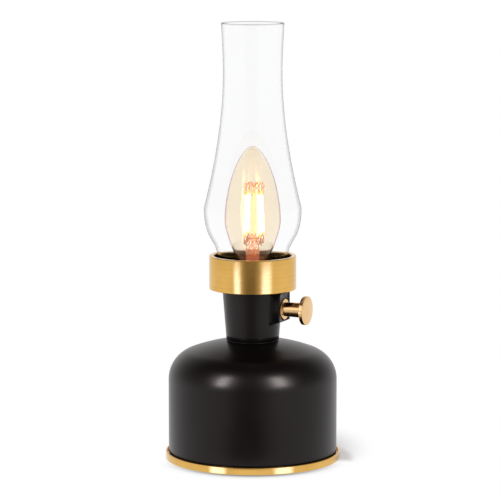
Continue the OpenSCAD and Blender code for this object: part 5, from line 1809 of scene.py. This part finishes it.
@dataclass
class Studio:
    """The floor, the soft light and the camera."""

    azimuth: float = 24
    pitch: float = 7.859
    distance: float = 1.6538
    target_z: float = 0.132067
    shift: float = -0.00169
    lens: float = 190
    daylight: float = 0.82
    floor_colour: float = 0.93
    dark_side: float = -6
    dark: Point3 = (0.25, 0.225, 0.205)

    def toward(self, azimuth: float, elevation: float) -> Vector:
        """Direction at an angle to the right of the camera and above the floor."""
        a, e = math.radians(self.azimuth + azimuth), math.radians(elevation)
        return Vector((math.sin(a) * math.cos(e), -math.cos(a) * math.cos(e), math.sin(e)))

    def build(self) -> None:
        """Sets up the studio."""
        self.camera()
        self.world()
        self.floor()
        self.strip("Left strip", -43, 0.17, 26)
        self.strip("Right strip", 38, 0.23, 22)
        self.strip("Knob strip", -48, 0.5, 1.2)
        self.lamp("Left lamp", -52, 38, 0.5, 4)
        self.lamp("Right lamp", 60, 50, 0.4, 1.5)
        near, far = (0.0004, 0.003, 0.01, 0.02, 0.05), (0.2, 0.45, 0.7, 1.0, 1.3)
        self.sheen("Left_sheen", -26.2, -16.5, far, 6.2)
        self.sheen("Right_sheen", 11, 26.6, far, 5.8)
        self.sheen("Left_ring_sheen", -30, -16.5, near, 5.2)
        self.sheen("Right_ring_sheen", 12.8, 28, near, 5.2)
        self.sheen("Knob_sheen", -50, -18, far, 0.8, (1, 1.25, 1.7))
        self.card()

    def camera(self) -> None:
        """A long lens a little above the lamp, at the photograph's angle."""
        data = bpy.data.cameras.new("Camera")
        data.lens = self.lens
        data.sensor_width = 36
        data.clip_start = 0.05
        camera = bpy.data.objects.new("Camera", data)
        bpy.context.scene.collection.objects.link(camera)
        a = math.radians(self.azimuth)
        aside = Vector((math.cos(a), math.sin(a), 0)) * self.shift
        back = self.toward(0, self.pitch)
        camera.location = Vector((0, 0, self.target_z)) + back * self.distance + aside
        camera.rotation_euler = (-back).to_track_quat("-Z", "Y").to_euler()
        bpy.context.scene.camera = camera

    def world(self) -> None:
        """White round the lamp, darker above and on the camera's side, and even soft daylight."""
        world = bpy.data.worlds.new("Studio")
        bpy.context.scene.world = world
        world.use_nodes = True
        world.cycles.sampling_method = "NONE"
        graph = Graph(world.node_tree)
        way = graph.add("ShaderNodeTexCoord").outputs["Generated"]
        parts = graph.add("ShaderNodeSeparateXYZ", {0: way}).outputs
        level = graph.add("ShaderNodeCombineXYZ", {0: parts[0], 1: parts[1]}).outputs[0]
        level = graph.add("ShaderNodeVectorMath", {0: level}, operation="NORMALIZE").outputs[0]
        behind = graph.add("ShaderNodeVectorMath", {0: level, 1: -self.toward(0, 0)},
                           operation="DOT_PRODUCT").outputs["Value"]
        ahead = graph.add("ShaderNodeVectorMath", {0: level, 1: self.toward(self.dark_side, 0)},
                          operation="DOT_PRODUCT").outputs["Value"]
        high = parts[2]
        back = graph.ramp(high, ((0.0, (1, 1, 1)), (0.3, (0.9, 0.88, 0.87)), (0.5, (0.65, 0.62, 0.6)),
                                 (0.72, (0.26, 0.24, 0.23)), (0.9, (0.08, 0.07, 0.07))))
        side = graph.ramp(high, ((0.0, (0.9, 0.9, 0.9)), (0.2, (0.5, 0.49, 0.48)), (0.42, (0.27, 0.26, 0.25)),
                                 (0.7, (0.12, 0.11, 0.11)), (0.9, (0.06, 0.05, 0.05))))
        front = graph.ramp(high, ((0.0, self.dark), (0.5, self.dark), (0.9, (0.06, 0.05, 0.05))))
        to_back = graph.add("ShaderNodeMapRange", {"Value": behind, "From Min": 0.35, "From Max": 0.9}).outputs[0]
        to_front = graph.add("ShaderNodeMapRange", {"Value": ahead, "From Min": 0.86, "From Max": 0.975},
                             interpolation_type="SMOOTHSTEP").outputs[0]
        seen = graph.blend(to_front, graph.blend(to_back, side, back), front)
        through = graph.ramp(high, ((0.0, (1, 1, 1)), (0.5, (1, 1, 1)), (0.9, (0.6, 0.6, 0.6))))
        path = graph.add("ShaderNodeLightPath").outputs
        soft = graph.blend(path["Is Glossy Ray"], (self.daylight, self.daylight, self.daylight, 1), seen)
        soft = graph.blend(path["Is Transmission Ray"], soft, through)
        colour = graph.blend(path["Is Camera Ray"], soft, (1, 1, 1, 1))
        light = graph.add("ShaderNodeBackground", {"Color": colour, "Strength": 1.0})
        out = graph.add("ShaderNodeOutputWorld")
        graph.tree.links.new(light.outputs[0], out.inputs["Surface"])

    def floor(self) -> None:
        """A pale floor that keeps the lamp's shadow and runs out into the white background."""
        made = skin("Floor", [[Vector((0, 0, 0))]] + [ring(r, 0, 96) for r in (150, 400, 900, 1500)])
        made.data.materials.append(self.paper())
        made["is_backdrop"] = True

    def paper(self) -> bpy.types.Material:
        """Matt white paper: lit where the lamp's shadow falls, plain white elsewhere, and a painted contact shadow
        along the front of the foot ring.
        """
        made = bpy.data.materials.new("Floor paper")
        made.use_nodes = True
        graph = Graph(made.node_tree)
        place = graph.add("ShaderNodeTexCoord").outputs["Object"]
        fibre = graph.add("ShaderNodeTexNoise", {"Vector": place, "Scale": 900.0, "Detail": 3.0}).outputs[0]
        white = self.floor_colour
        tone = graph.blend(fibre, (white, white, white, 1), (white * 0.99, white * 0.99, white * 0.985, 1))
        cloth = graph.add("ShaderNodeBsdfDiffuse", {"Color": tone})
        close = self.toward(90, 0) * 0.0045
        beside = graph.add("ShaderNodeVectorMath", {0: place, 1: close}, operation="DISTANCE").outputs["Value"]
        near = graph.add("ShaderNodeMapRange", {"Value": beside, "From Min": 0.0545, "From Max": 0.0615},
                         interpolation_type="SMOOTHSTEP").outputs[0]
        right = graph.add("ShaderNodeVectorMath", {0: place, 1: self.toward(90, 0)},
                          operation="DOT_PRODUCT").outputs["Value"]
        behind = graph.add("ShaderNodeVectorMath", {0: place, 1: self.toward(180, 0)},
                           operation="DOT_PRODUCT").outputs["Value"]
        apart = graph.add("ShaderNodeCombineXYZ", {
            0: graph.math("SUBTRACT", right, 0.028),
            1: graph.math("MULTIPLY", graph.math("SUBTRACT", behind, 0.03), 0.6)}).outputs[0]
        apart = graph.add("ShaderNodeVectorMath", {0: apart}, operation="LENGTH").outputs["Value"]
        far = graph.add("ShaderNodeMapRange", {"Value": apart, "From Min": 0.018, "From Max": 0.052},
                        interpolation_type="SMOOTHSTEP").outputs[0]
        plain_share = graph.math("MULTIPLY", near, far)
        front = graph.add("ShaderNodeMapRange", {"Value": behind, "From Min": -0.004, "From Max": -0.02},
                          interpolation_type="SMOOTHSTEP").outputs[0]
        plain_share = graph.math("MAXIMUM", plain_share, front)
        path = graph.add("ShaderNodeLightPath").outputs
        seen = graph.math("MAXIMUM", path["Is Camera Ray"],
                          graph.math("MAXIMUM", path["Is Glossy Ray"], path["Is Transmission Ray"]))
        share = graph.math("MULTIPLY", plain_share, seen)
        radius = graph.add("ShaderNodeVectorMath", {0: place}, operation="LENGTH").outputs["Value"]
        plain = graph.add("ShaderNodeEmission", {"Color": (1, 1, 1, 1), "Strength": 1.0})
        mixed = graph.add("ShaderNodeMixShader", {0: share, 1: cloth.outputs[0], 2: plain.outputs[0]})
        # Painted contact shadow: a thin band round the foot ring, darkest next to it, in which the camera sees the
        # floor mixed towards black.
        gap = graph.ramp(graph.math("MULTIPLY", radius, 10.0), (
            (0.0, (0.75, 0.75, 0.75)), (0.55, (0.75, 0.75, 0.75)), (0.564, (0.64, 0.64, 0.64)),
            (0.591, (0.28, 0.28, 0.28)), (0.62, (0.09, 0.09, 0.09)), (0.65, (0.03, 0.03, 0.03)),
            (0.68, (0, 0, 0))))
        # The painted contact shadow is full straight ahead of the lamp and fades out towards its sides.
        ahead = graph.math("DIVIDE", graph.math("MULTIPLY", behind, -1.0), radius)
        ahead = graph.add("ShaderNodeMapRange", {"Value": ahead, "From Min": 0.25, "From Max": 1.0}).outputs[0]
        gap = graph.math("MULTIPLY", gap, ahead)
        # The black that the painted contact shadow mixes in, for camera rays only.
        black = graph.add("ShaderNodeBsdfDiffuse", {"Color": (0, 0, 0, 1)})
        floor_with_painted_shadow = graph.add("ShaderNodeMixShader", {
            0: graph.math("MULTIPLY", gap, path["Is Camera Ray"]), 1: mixed.outputs[0], 2: black.outputs[0]})
        out = graph.add("ShaderNodeOutputMaterial")
        graph.tree.links.new(floor_with_painted_shadow.outputs[0], out.inputs["Surface"])
        return made

    def light(self, name: str, width: float, height: float, radiance: float) -> bpy.types.Object:
        """An area light of this size whose face has this brightness, where 1 is white."""
        data = bpy.data.lights.new(name, "AREA")
        data.shape = "RECTANGLE"
        data.size = width
        data.size_y = height
        data.energy = radiance * math.pi * width * height
        made = bpy.data.objects.new(name, data)
        bpy.context.scene.collection.objects.link(made)
        made.visible_camera = False
        return made

    def strip(self, name: str, azimuth: float, width: float, radiance: float) -> None:
        """A tall narrow light that shows in metal and enamel, and not in the glass.

        Args:
            name: Name of the light.
            azimuth: Angle to the right of the camera.
            width: Width of the light.
            radiance: Brightness of its face.
        """
        made = self.light(name, width, 0.6, radiance)
        way = self.toward(azimuth, 0)
        made.location = way * 0.78 + Vector((0, 0, 0.5))
        made.rotation_euler = way.to_track_quat("Z", "Y").to_euler()
        made.visible_diffuse = False
        made.visible_transmission = False

    def lamp(self, name: str, azimuth: float, elevation: float, size: float, radiance: float) -> None:
        """A broad soft light that gives form and shadow to matt surfaces.

        Args:
            name: Name of the light.
            azimuth: Angle to the right of the camera.
            elevation: Angle above the floor.
            size: Side of the square light.
            radiance: Brightness of its face.
        """
        made = self.light(name, size, size, radiance)
        way = self.toward(azimuth, elevation)
        made.location = way * 1.05
        made.rotation_euler = way.to_track_quat("Z", "Y").to_euler()
        made.visible_glossy = False
        made.visible_transmission = False

    def only_for(self, lights: tuple[str, ...], *names: str) -> None:
        """Lets these lights reach only the named pieces, as flags and barn doors do in a studio."""
        lit = bpy.data.collections.new(f"Lit by {lights[0]}")
        for name in names:
            lit.objects.link(bpy.data.objects[name])
        for name in lights:
            bpy.data.objects[name].light_linking.receiver_collection = lit

    def sheen(self, name: str, first: float, last: float, runs: tuple[float, ...], strength: float,
              tone: Point3 = (0.28, 0.36, 1)) -> None:
        """A glowing sheet on the floor that brushed brass shows as an upright bright band.

        Args:
            name: Name of the sheet.
            first: Angle to the right of the camera of one side of the band on the brass.
            last: Angle of the other side.
            runs: Distances from the foot ring at which the sheet has a row of points.
            strength: Brightness of the sheet.
            tone: Colour of the sheet.
        """
        steps = 16
        points, across = [], []
        for run in runs:
            for i in range(steps + 1):
                a = first + (last - first) * i / steps
                spot = self.toward(a, 0) * 0.0551 + self.toward(2 * a, 0) * run
                points.append((spot.x, spot.y, 0.0003 + 0.06 * min(run, 0.03) + 0.0004 * (tone[0] > 0.5)))
                across.append(i / steps)
        wide = steps + 1
        faces = [(j * wide + i, j * wide + i + 1, (j + 1) * wide + i + 1, (j + 1) * wide + i)
                 for j in range(len(runs) - 1) for i in range(steps)]
        mesh = bpy.data.meshes.new(name)
        mesh.from_pydata(points, [], faces)
        mesh.attributes.new("across", "FLOAT", "POINT").data.foreach_set("value", across)
        made = bpy.data.materials.new(name)
        made.use_nodes = True
        graph = Graph(made.node_tree)
        place = graph.add("ShaderNodeAttribute", attribute_name="across").outputs["Fac"]
        soft = graph.ramp(place, ((0.0, (0, 0, 0)), (0.25, tone), (0.75, tone), (1.0, (0, 0, 0))))
        shine = graph.add("ShaderNodeEmission", {"Color": soft, "Strength": strength})
        clear = graph.add("ShaderNodeBsdfTransparent")
        both = graph.add("ShaderNodeAddShader", {0: shine.outputs[0], 1: clear.outputs[0]})
        out = graph.add("ShaderNodeOutputMaterial")
        graph.tree.links.new(both.outputs[0], out.inputs["Surface"])
        mesh.materials.append(made)
        sheet = new_object(name, mesh)
        sheet.visible_camera = False
        sheet.visible_diffuse = False
        sheet.visible_transmission = False
        sheet.visible_shadow = False
        sheet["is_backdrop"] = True

    def card(self) -> None:
        """A dark card on the floor in front of the lamp that only shiny surfaces see."""
        ahead = self.toward(self.dark_side, 0)
        right = self.toward(self.dark_side + 90, 0)
        points = [ahead * d + right * (s * d * 1.5) + Vector((0, 0, 0.001)) for d, s in
                  ((0.075, -1), (0.075, 1), (1.3, 1), (1.3, -1))]
        mesh = bpy.data.meshes.new("Dark card")
        mesh.from_pydata([tuple(p) for p in points], [], [(0, 1, 2, 3)])
        card = new_object("Dark_card", mesh)
        made = bpy.data.materials.new("Dark card")
        made.use_nodes = True
        graph = Graph(made.node_tree)
        place = graph.add("ShaderNodeTexCoord").outputs["Object"]
        aside = graph.add("ShaderNodeVectorMath", {0: place, 1: right}, operation="DOT_PRODUCT").outputs["Value"]
        along = graph.add("ShaderNodeVectorMath", {0: place, 1: ahead}, operation="DOT_PRODUCT").outputs["Value"]
        slope = graph.math("DIVIDE", graph.math("ABSOLUTE", aside), along)
        cover = graph.ramp(graph.math("DIVIDE", slope, 1.5), (
            (0.0, (1, 1, 1)), (0.13, (1, 1, 1)), (0.25, (0.6, 0.6, 0.6)), (0.4, (0.27, 0.27, 0.27)),
            (0.8, (0.1, 0.1, 0.1)), (1.0, (0, 0, 0))))
        grey = graph.add("ShaderNodeEmission", {"Color": (*self.dark, 1), "Strength": 1.0})
        clear = graph.add("ShaderNodeBsdfTransparent")
        mixed = graph.add("ShaderNodeMixShader", {0: cover, 1: clear.outputs[0], 2: grey.outputs[0]})
        out = graph.add("ShaderNodeOutputMaterial")
        graph.tree.links.new(mixed.outputs[0], out.inputs["Surface"])
        mesh.materials.append(made)
        card.visible_camera = False
        card.visible_diffuse = False
        card.visible_transmission = False
        card.visible_shadow = False
        card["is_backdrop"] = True


def main() -> list[list[float]]:
    """Builds the lantern and its studio.

    Returns:
        The two corners of the frame's box, from before anything was replaced.
    """
    logging.basicConfig(level=logging.INFO, format="%(name)s: %(message)s")
    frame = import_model()
    box = [list(corner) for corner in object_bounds()]
    bpy.context.scene.view_settings.view_transform = "Standard"
    studio = Studio()
    studio.build()
    shop = Workshop(frame)
    for part in (Stand(shop), Dome(shop), Neck(shop), Gallery(shop), Holder(shop), Dimmer(shop),
                 Chimney(shop), CandleBulb(shop), BatteryBox(shop), Driver(shop)):
        part.build()
        LOG.info("%s is built", type(part).__name__)
    studio.only_for(("Left strip", "Right strip"), "body_dome")
    studio.only_for(("Left_sheen", "Right_sheen"), "gallery_band")
    studio.only_for(("Left_ring_sheen", "Right_ring_sheen"), "foot_ring_brass")
    studio.only_for(("Knob strip", "Knob_sheen"), "knob_turned_stem", "knob_face_disc")
    return box


if __name__ == "__main__":
    cad_box = main()
